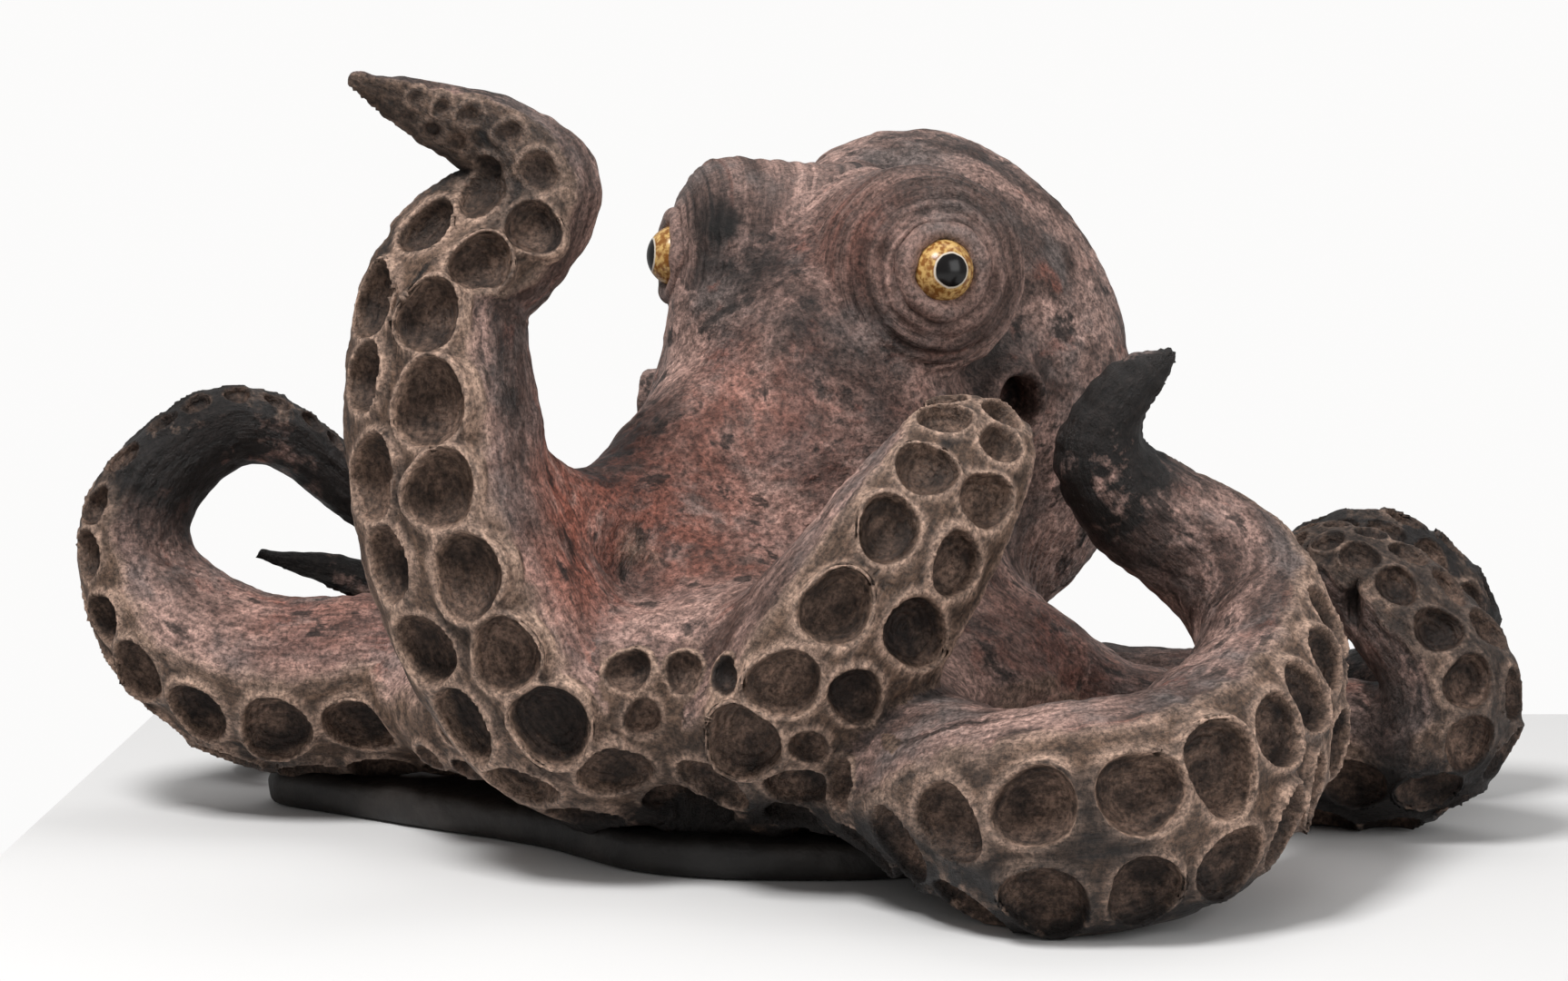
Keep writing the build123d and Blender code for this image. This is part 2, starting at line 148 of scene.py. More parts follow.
# %% Smooth centre lines
def cubic_through(values, along, wanted):
    """Natural cubic curve through rows of values at the given distances."""
    steps = np.diff(along)
    count = len(along)
    system = np.eye(count)
    right = np.zeros((count, values.shape[1]))
    for i in range(1, count - 1):
        system[i, i - 1:i + 2] = steps[i - 1], 2 * (steps[i - 1] + steps[i]), steps[i]
        slope = np.diff(values[i - 1:i + 2], axis=0) / steps[i - 1:i + 1, None]
        right[i] = 6 * (slope[1] - slope[0])
    bend = np.linalg.solve(system, right)
    j = np.clip(np.searchsorted(along, wanted) - 1, 0, count - 2)
    step = steps[j][:, None]
    a = ((along[j + 1] - wanted)[:, None]) / step
    b = 1 - a
    lift = ((a**3 - a) * bend[j] + (b**3 - b) * bend[j + 1]) * step**2 / 6
    return a * values[j] + b * values[j + 1] + lift


def unit(rows):
    return rows / np.maximum(np.linalg.norm(rows, axis=-1, keepdims=True), 1e-9)


SAMPLE_MM = 2.0
routes = {}
for name, points in ARMS.items():
    places = np.array([p[:3] for p in points], float)
    along = np.r_[0, np.cumsum(np.linalg.norm(np.diff(places, axis=0), axis=1))]
    wanted = np.linspace(0, along[-1], int(along[-1] / SAMPLE_MM))
    centre = cubic_through(places, along, wanted)
    half = np.interp(wanted, along, [p[3] for p in points])
    facing = np.stack([np.interp(wanted, along, [p[4][k] for p in points]) for k in range(3)], 1)
    ahead = unit(np.gradient(centre, axis=0))
    facing = unit(facing - ahead * (facing * ahead).sum(1, keepdims=True))
    across = np.cross(facing, ahead)
    routes[name] = dict(centre=centre, half=half, facing=facing, across=across, along=wanted)
    print(name, "length", round(along[-1]), "mm")

# %% [markdown]
# ## One body of clay
# The skin runs without a break from the head over the web into the arms. Separate tubes would meet in
# hard creases, so the clay is first described as a field: a block of small cells, each holding how far
# it is from the nearest surface, negative inside. Fields melt together softly when they are joined with
# a rounded minimum, just as wet clay is smoothed over a joint with a thumb.

# %% Block of cells
CELL = 1.1
LOW = np.array([-246.0, -200.0, -7.0])
HIGH = np.array([254.0, 214.0, 252.0])
shape = np.ceil((HIGH - LOW) / CELL).astype(int)
FAR = 40.0
clay = np.full(shape, FAR, np.float32)
nearest = np.full(shape, FAR, np.float32)
owner = np.zeros(shape, np.uint8)
owner_names = ["none"]
axes = [LOW[k] + CELL * np.arange(shape[k], dtype=np.float32) for k in range(3)]
print("cells:", shape, "of", CELL, "mm")


def window(low, high):
    """Slices of the block that cover a box, and the coordinates of its cells."""
    first = np.clip(((np.asarray(low) - LOW) / CELL).astype(int), 0, shape - 1)
    last = np.clip(((np.asarray(high) - LOW) / CELL).astype(int) + 2, 1, shape)
    cut = tuple(slice(a, b) for a, b in zip(first, last))
    grids = np.meshgrid(*(axes[k][cut[k]] for k in range(3)), indexing="ij", sparse=True)
    return cut, grids


def soft_min(a, b, reach):
    """Minimum of two fields with a fillet about as wide as reach."""
    overlap = np.clip(reach - np.abs(a - b), 0, None) / reach
    return np.minimum(a, b) - overlap * overlap * reach * 0.25


def soft_max(a, b, reach):
    return -soft_min(-a, -b, reach)


def add_clay(name, cut, field, reach):
    """Join a field to the clay and remember which piece owns the cells nearest to it."""
    if name not in owner_names:
        owner_names.append(name)
    clay[cut] = soft_min(clay[cut], field, reach)
    closer = field < nearest[cut]
    owner[cut][closer] = owner_names.index(name)
    nearest[cut] = np.minimum(nearest[cut], field)


# %% [markdown]
# The head and the mantle are hollow eggs of clay, and the crown is a flared skirt that carries them. Each
# could be a sculpted mesh, but an egg and a skirt are short formulas, and a formula can be joined to its
# neighbour with any width of fillet. A rod fills the cheek under the left eye.

# %% Crown, head and mantle
def egg_field(cut_grids, centre, axis, radius, half_length):
    """Distance to an egg of revolution, good near its surface."""
    x, y, z = (g - c for g, c in zip(cut_grids, centre))
    axis = unit(np.array(axis, float))
    t = x * axis[0] + y * axis[1] + z * axis[2]
    across = np.maximum(x * x + y * y + z * z - t * t, 0)
    near = np.sqrt(across / radius**2 + t * t / half_length**2)
    steep = np.sqrt(across / radius**4 + t * t / half_length**4)
    return (near * (near - 1) / np.maximum(steep, 1e-6)).astype(np.float32)


def rod_field(grids, a, b, radius):
    """Distance to a round-ended rod."""
    a, b = np.array(a, float), np.array(b, float)
    d = b - a
    x, y, z = (g - c for g, c in zip(grids, a))
    t = np.clip((x * d[0] + y * d[1] + z * d[2]) / (d @ d), 0, 1)
    return np.sqrt((x - t * d[0])**2 + (y - t * d[1])**2 + (z - t * d[2])**2) - radius


SKIRT_HEIGHTS = [8, 40, 56, 68, 80, 94, 112, 132]
SKIRT_RADII = [88, 98, 98, 88, 76, 65, 55, 44]
SKIRT_FOOT, SKIRT_TOP, SKIRT_SLOPE = 10, 124, 0.75
HEAD = dict(centre=(12, 6, 130), axis=(0, 0, 1), radius=47, half_length=66)
MANTLE = dict(centre=(52, 78, 138), axis=(-0.25, -0.16, 1), radius=67, half_length=88)
CHEEK = dict(a=(-16, 14, 165), b=(-19, 14, 138), radius=20)
SKIRT_EDGE, SKIRT_JOINT, HEAD_JOINT, CHEEK_JOINT, MANTLE_JOINT = 8, 6, 30, 16, 24

cut, grids = window((-170, -170, 0), (170, 170, 160))
ring = np.sqrt(grids[0]**2 + grids[1]**2)
skirt = np.interp(grids[2], SKIRT_HEIGHTS, SKIRT_RADII)
ends = np.maximum(grids[2] - SKIRT_TOP, SKIRT_FOOT - grids[2])
crown_field = soft_max((ring - skirt) * SKIRT_SLOPE, ends, SKIRT_EDGE)
add_clay("crown", cut, crown_field.astype(np.float32), SKIRT_JOINT)

cut, grids = window((-80, -85, 30), (110, 100, 245))
add_clay("head", cut, egg_field(grids, **HEAD), HEAD_JOINT)
add_clay("head", cut, rod_field(grids, **CHEEK).astype(np.float32), CHEEK_JOINT)
cut, grids = window((-50, -20, 20), (165, 185, 252))
add_clay("mantle", cut, egg_field(grids, **MANTLE), MANTLE_JOINT)
print("owners so far:", owner_names[1:])

# %% [markdown]
# Between neighbouring arms the skin is drawn up into folds. Each is a thick roll of clay laid from one
# arm to the next and smoothed in, given by its radius and three places. They make the web's high rim between
# the front arms and the saddle between the tall arm and the head.

# %% Web folds
FOLDS = [
    (23.0, [(-22, -18, 118), (-54, -50, 94), (-77, -73, 100)]),
    (18.0, [(-72, -92, 62), (-40, -104, 60), (-2, -112, 62)]),
    (14.0, [(28, -116, 46), (48, -126, 27), (62, -136, 30)]),
    (16.0, [(-62, -84, 46), (-100, -42, 42), (-128, -6, 42)]),
    (24.0, [(8, -30, 92), (-14, -72, 66), (-12, -92, 60)]),
]
FOLD_BEND, FOLD_JOINT, FOLD_MARGIN = 12, 22, 30
for radius, bends in FOLDS:
    spread = radius + FOLD_MARGIN
    cut, grids = window(np.min(bends, 0) - spread, np.max(bends, 0) + spread)
    rods = [rod_field(grids, a, b, radius) for a, b in zip(bends, bends[1:])]
    add_clay("crown", cut, soft_min(rods[0], rods[1], FOLD_BEND).astype(np.float32), FOLD_JOINT)
print("folds:", len(FOLDS))

# %% [markdown]
# An eye turret is a round stub of wound clay that swells a little towards the eye. It is measured along
# the way the eye looks, from the middle of the eyeball. Under the turret the crease stays sharp. Above and
# behind it the joint is thumbed smooth, so the width of the fillet depends on the side.

# %% Eye turrets
EYES = {
    "right": dict(ball=np.array([49.5, -30.0, 180.0]), look=unit(np.array([0.31, -0.95, 0.05])),
                  smooth=0.7, ridge=0.9),
    "left": dict(ball=np.array([-35.0, 20.0, 183.0]), look=unit(np.array([-0.97, -0.2, 0.05])),
                 smooth=0.8, ridge=0.4),
}
EYEBALL_RADIUS = 10.0
TURRET_DEPTHS = [-60, -34, -18, -10, -5, -1, 2]
TURRET_WALLS = [28, 32, 33.5, 32, 28.5, 22, 15]
TURRET_FRONT, TURRET_BACK, TURRET_SLOPE, TURRET_EDGE = 1.5, 58, 0.85, 4
CREASE_JOINT, SMOOTH_JOINT = 4, 16
TURRET_MIDDLE, TURRET_WINDOW = 26, 75
for side, eye in EYES.items():
    middle = eye["ball"] - TURRET_MIDDLE * eye["look"]
    cut, grids = window(middle - TURRET_WINDOW, middle + TURRET_WINDOW)
    x, y, z = (g - c for g, c in zip(grids, eye["ball"]))
    t = x * eye["look"][0] + y * eye["look"][1] + z * eye["look"][2]
    ring = np.sqrt(np.maximum(x * x + y * y + z * z - t * t, 0))
    side_wall = np.interp(t, TURRET_DEPTHS, TURRET_WALLS)
    ends = np.maximum(t - TURRET_FRONT, -TURRET_BACK - t)
    stub = soft_max((ring - side_wall) * TURRET_SLOPE, ends, TURRET_EDGE)
    toward = (eye["smooth"] * x + 0.8 * z) / np.maximum(ring, 1)
    fillet = CREASE_JOINT + SMOOTH_JOINT * np.clip(toward, 0, 1)**1.5
    add_clay("turret_" + side, cut, stub.astype(np.float32), fillet)
print("turrets stand", 2 * max(TURRET_WALLS), "mm across")

# %% [markdown]
# A sucker-lined arm is round on the back and squarer where the cups are. Each short stretch of the arm
# is a tapered rod with its front pressed flat, and the nearest stretch wins. Near the crown the arms melt
# into one web. Further out they only touch, so the fillet shrinks with the distance from the middle.

# %% Arms
FLAT_SHARE = 0.76
SQUARENESS = 2.6
STRETCH = 3


def arm_field(route, cut, margin=26.0):
    """Field of one arm inside a window of the block."""
    corner = [axes[k][cut[k]] for k in range(3)]
    field = np.full([len(c) for c in corner], FAR, np.float32)
    picks = list(range(0, len(route["along"]) - 1, STRETCH)) + [len(route["along"]) - 1]
    for i, j in zip(picks, picks[1:]):
        a, b = route["centre"][i], route["centre"][j]
        wide, thin = route["half"][i], route["half"][j]
        pad = max(wide, thin) + margin
        part = []
        for k in range(3):
            low, high = min(a[k], b[k]) - pad, max(a[k], b[k]) + pad
            part.append(slice(*np.searchsorted(corner[k], (low, high))))
        x, y, z = np.meshgrid(*(corner[k][part[k]] - a[k] for k in range(3)), indexing="ij", sparse=True)
        d = b - a
        t = np.clip((x * d[0] + y * d[1] + z * d[2]) / (d @ d), 0, 1)
        x, y, z = x - t * d[0], y - t * d[1], z - t * d[2]
        half = wide + (thin - wide) * t
        o = unit(route["facing"][i] + route["facing"][j])
        up = x * o[0] + y * o[1] + z * o[2]
        beside = np.maximum(x * x + y * y + z * z - up * up, 0)
        back = np.sqrt(beside + up * up)
        front = beside**(SQUARENESS / 2) + (np.maximum(up, 0) / FLAT_SHARE)**SQUARENESS
        stretch = np.where(up > 0, front**(1 / SQUARENESS), back) - half
        target = field[tuple(part)]
        np.minimum(target, stretch, out=target)
    return field


WEB_DISTANCES, WEB_JOINTS = [70, 105, 150], [30, 18, 3]
ARM_MARGIN = 30
for name, route in routes.items():
    reach_mm = route["half"][:, None] + ARM_MARGIN
    cut, grids = window((route["centre"] - reach_mm).min(0), (route["centre"] + reach_mm).max(0))
    out = np.sqrt(grids[0]**2 + grids[1]**2)
    fillet = np.interp(out + 0 * grids[2], WEB_DISTANCES, WEB_JOINTS)
    add_clay("arm_" + name, cut, arm_field(route, cut), fillet)
    print("added arm", name)

# %% [markdown]
# Each cheek has a siphon. On the left it stands out as a stub, on the right we look straight into it.
# The stub is added and the hole is then taken out with a rounded maximum, which leaves a soft lip.

# %% Siphons
SIPHONS = {
    "right": dict(mouth=np.array([77.0, 2.0, 135.0]), way=unit(np.array([0.5, -0.85, -0.1])), back=40),
    "left": dict(mouth=np.array([-48.0, 42.0, 131.0]), way=unit(np.array([-0.98, 0, -0.1])), back=46),
}
SIPHON_RADIUS, SIPHON_BORE, SIPHON_DEPTH = 11.5, 7.6, 16
SIPHON_LIP, SIPHON_JOINT, SIPHON_WINDOW = 5, 12, 66
UPRIGHT_OVAL = 0.72
for side, siphon in SIPHONS.items():
    cut, grids = window(siphon["mouth"] - SIPHON_WINDOW, siphon["mouth"] + SIPHON_WINDOW)
    x, y, z = (g - c for g, c in zip(grids, siphon["mouth"]))
    t = x * siphon["way"][0] + y * siphon["way"][1] + z * siphon["way"][2]
    ring = np.sqrt(np.maximum(x * x + y * y + UPRIGHT_OVAL * z * z - t * t, 0))
    tube = soft_max(ring - SIPHON_RADIUS, np.maximum(t, -siphon["back"] - t), SIPHON_LIP)
    add_clay("siphon_" + side, cut, tube.astype(np.float32), SIPHON_JOINT)
    hole = np.maximum(ring - SIPHON_BORE, -SIPHON_DEPTH - t)
    clay[cut] = soft_max(clay[cut], -hole.astype(np.float32), SIPHON_LIP - 1)
print("owners:", len(owner_names) - 1)

# %% [markdown]
# ## Suckers
# The maker pressed a thumb into small rolled buttons of clay, so each sucker is a raised wall round a cup.
# They sit in two rows, grow with the arm and nearly touch. An array modifier would space them by the arm's
# middle, but the outside of a bend is longer, so the steps are measured along the sucker side itself.

# %% Sucker places
ROW_SHARE = 0.44
ROW_SHIFT = {"tall_left": -0.16, "front": 0.08}
SEAT_SHARE = 0.71
STEP_SHARE = 0.88
CUP_SHARE = 0.45
SPLAY = 0.32
SMALLEST_CUP = 3.0
FIRST_CUP = 14.0
OPEN_MM = 2.0
hand = np.random.default_rng(8)
suckers = []


def is_open(place):
    """Whether a place lies outside the clay. Cups are pressed only where there is room in front of them."""
    i, j, k = np.clip(np.round((place - LOW) / CELL).astype(int), 0, shape - 1)
    return clay[i, j, k] > OPEN_MM


for name, route in routes.items():
    for row in (-1, 1):
        half = route["half"][:, None]
        sideways = row * ROW_SHARE + ROW_SHIFT.get(name, 0)
        seats = route["centre"] + half * (SEAT_SHARE * route["facing"] + sideways * route["across"])
        walked = np.r_[0, np.cumsum(np.linalg.norm(np.diff(seats, axis=0), axis=1))]
        at = FIRST_CUP if row < 0 else FIRST_CUP + 0.5 * STEP_SHARE * route["half"][0]
        while at < 0.98 * walked[-1]:
            i = np.searchsorted(walked, at)
            radius = CUP_SHARE * route["half"][i] * hand.uniform(0.92, 1.08)
            axis = unit(route["facing"][i] + SPLAY * row * route["across"][i] + hand.normal(0, 0.07, 3))
            if radius >= SMALLEST_CUP and is_open(seats[i] + radius * axis):
                suckers.append((name, seats[i], axis, radius))
            at += STEP_SHARE * route["half"][i] * hand.uniform(0.94, 1.06)
arm_suckers = len(suckers)
print("suckers on the arms:", arm_suckers)

# %% [markdown]
# The front of the web is filled with more cups in no clear order. Places are thrown at random, always with
# the same seed, and one is kept where it faces forward, lies on clay and has room beside the others.

# %% Suckers on the web
WEB_THROWS = 900
WEB_X, WEB_Z, WEB_RADII = (-112, 52), (9, 74), (7.0, 11.5)
WEB_ROOM = 0.86
LOWEST_CUP = 8.0
ROOTS = ("crown", "arm_tall_left", "arm_front", "arm_left_curl", "arm_front_right")
for throw in range(WEB_THROWS):
    x, z, radius = hand.uniform(*WEB_X), hand.uniform(*WEB_Z), hand.uniform(*WEB_RADII)
    i, k = (int(round((v - LOW[m]) / CELL)) for v, m in ((x, 0), (z, 2)))
    j = int(np.argmax(clay[i, :, k] < 0))
    seat = np.array([x, axes[1][j], z])
    slope = np.array([clay[i + 2, j, k] - clay[i - 2, j, k], clay[i, j + 2, k] - clay[i, j - 2, k],
                      clay[i, j, k + 2] - clay[i, j, k - 2]])
    axis = unit(slope)
    room = all(np.linalg.norm(seat - s[1]) > WEB_ROOM * (radius + s[3]) for s in suckers)
    whole = seat[2] - 0.9 * radius > LOWEST_CUP
    forward = axis[1] < -0.3 and axis[2] < 0.35
    if room and whole and forward and owner_names[owner[i, j, k]] in ROOTS:
        suckers.append(("crown", seat, axis, radius))
print("suckers:", len(suckers), "of them on the web:", len(suckers) - arm_suckers)

# %% [markdown]
# Now the cups are pressed. No thumb leaves a true circle, so the distance from a cup's axis is measured on
# an uneven round. A button is added first, so that a cup at the edge of an arm keeps a whole wall, and a
# bowl is taken out of it. The hooked end of the tall arm has only faint cups.

# %% Press the suckers
def cup_ring(x, y, z, axis, twist):
    """Height over a cup's rim, and the distance from its axis measured on its uneven, hand-made round."""
    level = unit(np.cross(axis, [0.1, 0.2, 1.0]))
    upright = np.cross(axis, level)
    a = x * level[0] + y * level[1] + z * level[2]
    b = x * upright[0] + y * upright[1] + z * upright[2]
    turn = np.arctan2(b, a)
    uneven = 1 + 0.08 * np.sin(2 * turn + twist) + 0.05 * np.sin(3 * turn + 2.3 * twist)
    return x * axis[0] + y * axis[1] + z * axis[2], np.sqrt(a * a + b * b) / uneven


BUTTON_SHARE, BUTTON_LIFT, BUTTON_EDGE, BUTTON_FOOT = 0.98, 0.12, 0.22, 0.6
BUTTON_JOINT, CUP_LIP = 0.14, 0.10
WALL_MM = 1.7
CUP_DEPTH, FAINT_DEPTH = 0.60, 0.30
FAINT_ABOVE = 196


def is_faint(name, seat):
    """The tall arm's hooked end has only faint cups."""
    return name == "tall_left" and seat[2] > FAINT_ABOVE


def press(seat, axis, radius, twist, deep):
    """Add one button and scoop out its cup."""
    cut, grids = window(seat - 2.2 * radius, seat + 2.2 * radius)
    x, y, z = (g - c for g, c in zip(grids, seat))
    height, ring = cup_ring(x, y, z, axis, twist)
    button = soft_max(ring - BUTTON_SHARE * radius, height - BUTTON_LIFT * radius, BUTTON_EDGE * radius)
    button = np.maximum(button, -BUTTON_FOOT * radius - height)
    body = soft_min(clay[cut], button.astype(np.float32), BUTTON_JOINT * radius)
    wide = max(BUTTON_SHARE * radius - WALL_MM, 0.5 * radius)
    bowl = (np.sqrt((ring / wide)**2 + (height / deep)**2) - 1) * deep
    bowl = np.where(height < 0, bowl, ring - wide)
    clay[cut] = soft_max(body, -bowl.astype(np.float32), CUP_LIP * radius)


twists = np.random.default_rng(9).uniform(0, 2 * math.pi, len(suckers))
for (name, seat, axis, radius), twist in zip(suckers, twists):
    press(seat, axis, radius, twist, radius * (FAINT_DEPTH if is_faint(name, seat) else CUP_DEPTH))
print("pressed", len(suckers), "cups")

# %% [markdown]
# The figure stands on a table, so the clay is planed flat just above it. The surface is then drawn where
# the field is zero, as small four-sided faces.

# %% Skin the block
PLANED_MM = 0.4
BODY_MIDDLE = np.array([20, 20, 100])
clay = np.maximum(clay, (PLANED_MM - axes[2])[None, None, :])
grid = openvdb.FloatGrid(FAR)
grid.copyFromArray(np.ascontiguousarray(np.clip(clay, -FAR, FAR)))
points, quads = grid.convertToQuads(isovalue=0.0)
points = np.asarray(points, float) * CELL + LOW
quads = np.asarray(quads, int)
print("skin:", len(points), "points,", len(quads), "faces")


def point_normals(points, quads):
    """Smooth normal at each point."""
    flat = np.cross(points[quads[:, 2]] - points[quads[:, 0]], points[quads[:, 3]] - points[quads[:, 1]])
    total = np.zeros_like(points)
    for k in range(4):
        np.add.at(total, quads[:, k], flat)
    return unit(total)


normals = point_normals(points, quads)
cell = np.clip(np.round((points - LOW) / CELL).astype(int), 0, shape - 1)
label = owner[cell[:, 0], cell[:, 1], cell[:, 2]].astype(int)
outward = np.sign((normals * (points - BODY_MIDDLE)).sum(1).mean())
if outward < 0:
    quads = quads[:, ::-1]
    normals = -normals
print("points on arms:", int(np.isin(label, [owner_names.index("arm_" + n) for n in routes]).sum()))

# %% [markdown]
# ## Hand marks
# Nothing on the real figure is smooth: soft lumps from the fingers run all over it. A sculpting brush could
# leave them, but random numbers on a coarse lattice, blended in between, do the same in a few lines and at
# any size. Three sizes are added up. The points are pushed along their normals by this later on.

# %% Finger lumps
LATTICE = 24


def lumps(where, size, seed):
    """Smooth random numbers from -1 to 1 that change over about size millimetres."""
    table = np.random.default_rng(seed).uniform(-1, 1, (LATTICE, LATTICE, LATTICE))
    spot = where / size
    base = np.floor(spot).astype(int)
    part = spot - base
    part = part * part * (3 - 2 * part)
    total = np.zeros(len(where))
    for corner in np.ndindex(2, 2, 2):
        weight = np.prod(np.where(corner, part, 1 - part), axis=1)
        i, j, k = ((base + corner) % LATTICE).T
        total += weight * table[i, j, k]
    return total


def hand_marks(where, layers):
    """Lumps of several sizes added up. A layer is a height and a size in millimetres, and a seed."""
    return sum(height * lumps(where, size, seed) for height, size, seed in layers)


push = hand_marks(points, [(0.9, 21, 1), (0.6, 8, 2), (0.38, 3.2, 3)])
print("lumps up to", round(np.abs(push).max(), 2), "mm")

# %% [markdown]
# Most marks begin or end somewhere. A hard step would show as a line, so three small helpers say how much of
# a mark is there: one rises from 0 to 1, one falls back to 0, and one has its full height in the middle only.

# %% Soft limits
def rising(value, start, width):
    """From 0 at the start to 1 after the width."""
    return np.clip((value - start) / width, 0, 1)


def falling(value, end, width):
    """From 1, over the width, to 0 at the end."""
    return np.clip((end - value) / width, 0, 1)


def tent(value, middle, width):
    """1 in the middle and 0 from the width on, to both sides."""
    return np.clip(1 - np.abs(value - middle) / width, 0, 1)


def is_owner(*names):
    return np.isin(label, [owner_names.index(n) for n in names])


standing = rising(points[:, 2], 1.0, 6.0)
print("points clear of the table:", int((standing == 1).sum()))

# %% [markdown]
# The turrets were wound from thin rolls of clay, and the rolls show as rings. A rectified sine of the
# distance from the eye gives round ridges with sharp valleys, and adding the turn makes it one long spiral.
# Low on the mantle the maker scratched a row of upright lines, a few millimetres apart.

# %% Coils and scratches
COIL_MM = 5.2
COIL_MIDDLE, COIL_REACH = -20, 46
COIL_INNER, COIL_OUTER = 14, 40
for side, eye in EYES.items():
    from_eye = points - eye["ball"]
    t = from_eye @ eye["look"]
    flat = from_eye - t[:, None] * eye["look"]
    ring = np.linalg.norm(flat, axis=1)
    level = unit(np.cross(eye["look"], [0, 0, 1]))
    turn = np.arctan2(flat[:, 2], flat @ level) / (2 * math.pi)
    path = ring + np.maximum(0, -t - 3) * 0.9 + 1.2 * lumps(points, 14, 4)
    coil = np.abs(np.sin(math.pi * (path / COIL_MM + turn)))
    near = falling(np.abs(t - COIL_MIDDLE), COIL_REACH, 10) * falling(ring, COIL_OUTER, 5)
    near *= rising(ring, COIL_INNER, 3)
    ridge = eye["ridge"] * (1.4 + lumps(points, 11, 7)) * (coil - 0.6) * near
    push += np.where(is_owner("turret_" + side), ridge, 0)

SCRATCH_STEP, SCRATCH_DEPTH = 3.8, 1.3
SCRATCH_LOW, SCRATCH_HIGH, SCRATCH_FADE = 60, 92, 6
mantle_x, mantle_y = MANTLE["centre"][:2]
turn = np.arctan2(points[:, 0] - mantle_x, mantle_y - points[:, 1])
around = MANTLE["radius"] * turn + 1.5 * lumps(points, 16, 12)
groove = tent(np.sin(math.pi * around / SCRATCH_STEP), 0, 0.55)
band = falling(points[:, 2], SCRATCH_HIGH, SCRATCH_FADE)
band *= rising(points[:, 2], SCRATCH_LOW, SCRATCH_FADE) * (points[:, 1] < mantle_y)
push -= np.where(is_owner("mantle"), SCRATCH_DEPTH * groove * band, 0)
print("push from", round(push.min(), 2), "to", round(push.max(), 2), "mm")

# %% [markdown]
# ## Marks for the paint
# The finish changes from place to place: black in the cups, pale on their rims, dark between them and
# smoky on some arm ends. Painted shade darkens the crevices and the middles of the cups, and adds to the
# darkening at the foot and under the front arms. It could be painted by hand, but numbers kept at every
# point of the skin let one material do it all. First come the side of an arm that carries the suckers, and
# the pale lip beside it.

# %% Sucker side and lip
SIDE_STARTS, LIP_AT = 0.36, 0.40
oral = np.zeros(len(points))
lip = np.zeros(len(points))
progress = np.zeros(len(points))


def along_arm(route, place):
    """Nearest step of an arm's centre line, and how far round and up each place is from it."""
    best = np.concatenate([
        ((chunk[:, None, :] - route["centre"][None])**2).sum(2).argmin(1)
        for chunk in np.array_split(place, max(1, len(place) // 4000))
    ])
    away = place - route["centre"][best]
    return best, (away * route["across"][best]).sum(1), (away * route["facing"][best]).sum(1)


for name, route in routes.items():
    mine = np.flatnonzero(is_owner("arm_" + name))
    place = points[mine]
    best, sideways, up = along_arm(route, place)
    up = up / route["half"][best]
    ragged = 0.10 * lumps(place, 9, 5) + 0.05 * lumps(place, 3.5, 6)
    oral[mine] = rising(up + ragged, SIDE_STARTS, 0.10)
    lip[mine] = tent(up + ragged, LIP_AT, 0.13)
    progress[mine] = route["along"][best] / route["along"][-1]

WEB_STARTS = 84
WEB_SIDE_STARTS, WEB_LIP_AT = 0.30, 0.36
WEB_FACES = unit(np.array([-0.15, -0.72, -0.68]))
outer_web = (np.hypot(points[:, 0], points[:, 1]) > WEB_STARTS) & (points[:, 1] < 0)
web_front = np.flatnonzero(is_owner("crown") & outer_web)
under = normals[web_front] @ WEB_FACES + 0.25 * lumps(points[web_front], 9, 5)
oral[web_front] = rising(under, WEB_SIDE_STARTS, 0.2)
lip[web_front] = tent(under, WEB_LIP_AT, 0.26)
print("points on the sucker side:", int((oral > 0.5).sum()))

# %% [markdown]
# Next are the cups. A point knows how far it is from the axis of its cup, so it is inside, on the rim or
# outside. Every cup has its own darkness. Cups low on the figure are darker, partly as painted shade, and
# the middle of each cup is painted darker as painted shade. Worn places and painted shade come from the
# field: a step into the clay that soon comes out again means a thin wall or an edge, where the pale body
# shows, and a step out that stays close to clay means a crevice, which is darkened as painted shade.

# %% Cups, worn edges and painted crevice shade
def field_at(place):
    """The clay field at any place, blended from the eight cells round it."""
    spot = (place - LOW) / CELL
    base = np.clip(np.floor(spot).astype(int), 0, shape - 2)
    part = np.clip(spot - base, 0, 1)
    total = np.zeros(len(place))
    for corner in np.ndindex(2, 2, 2):
        weight = np.prod(np.where(corner, part, 1 - part), axis=1)
        i, j, k = (base + corner).T
        total += weight * clay[i, j, k]
    return total


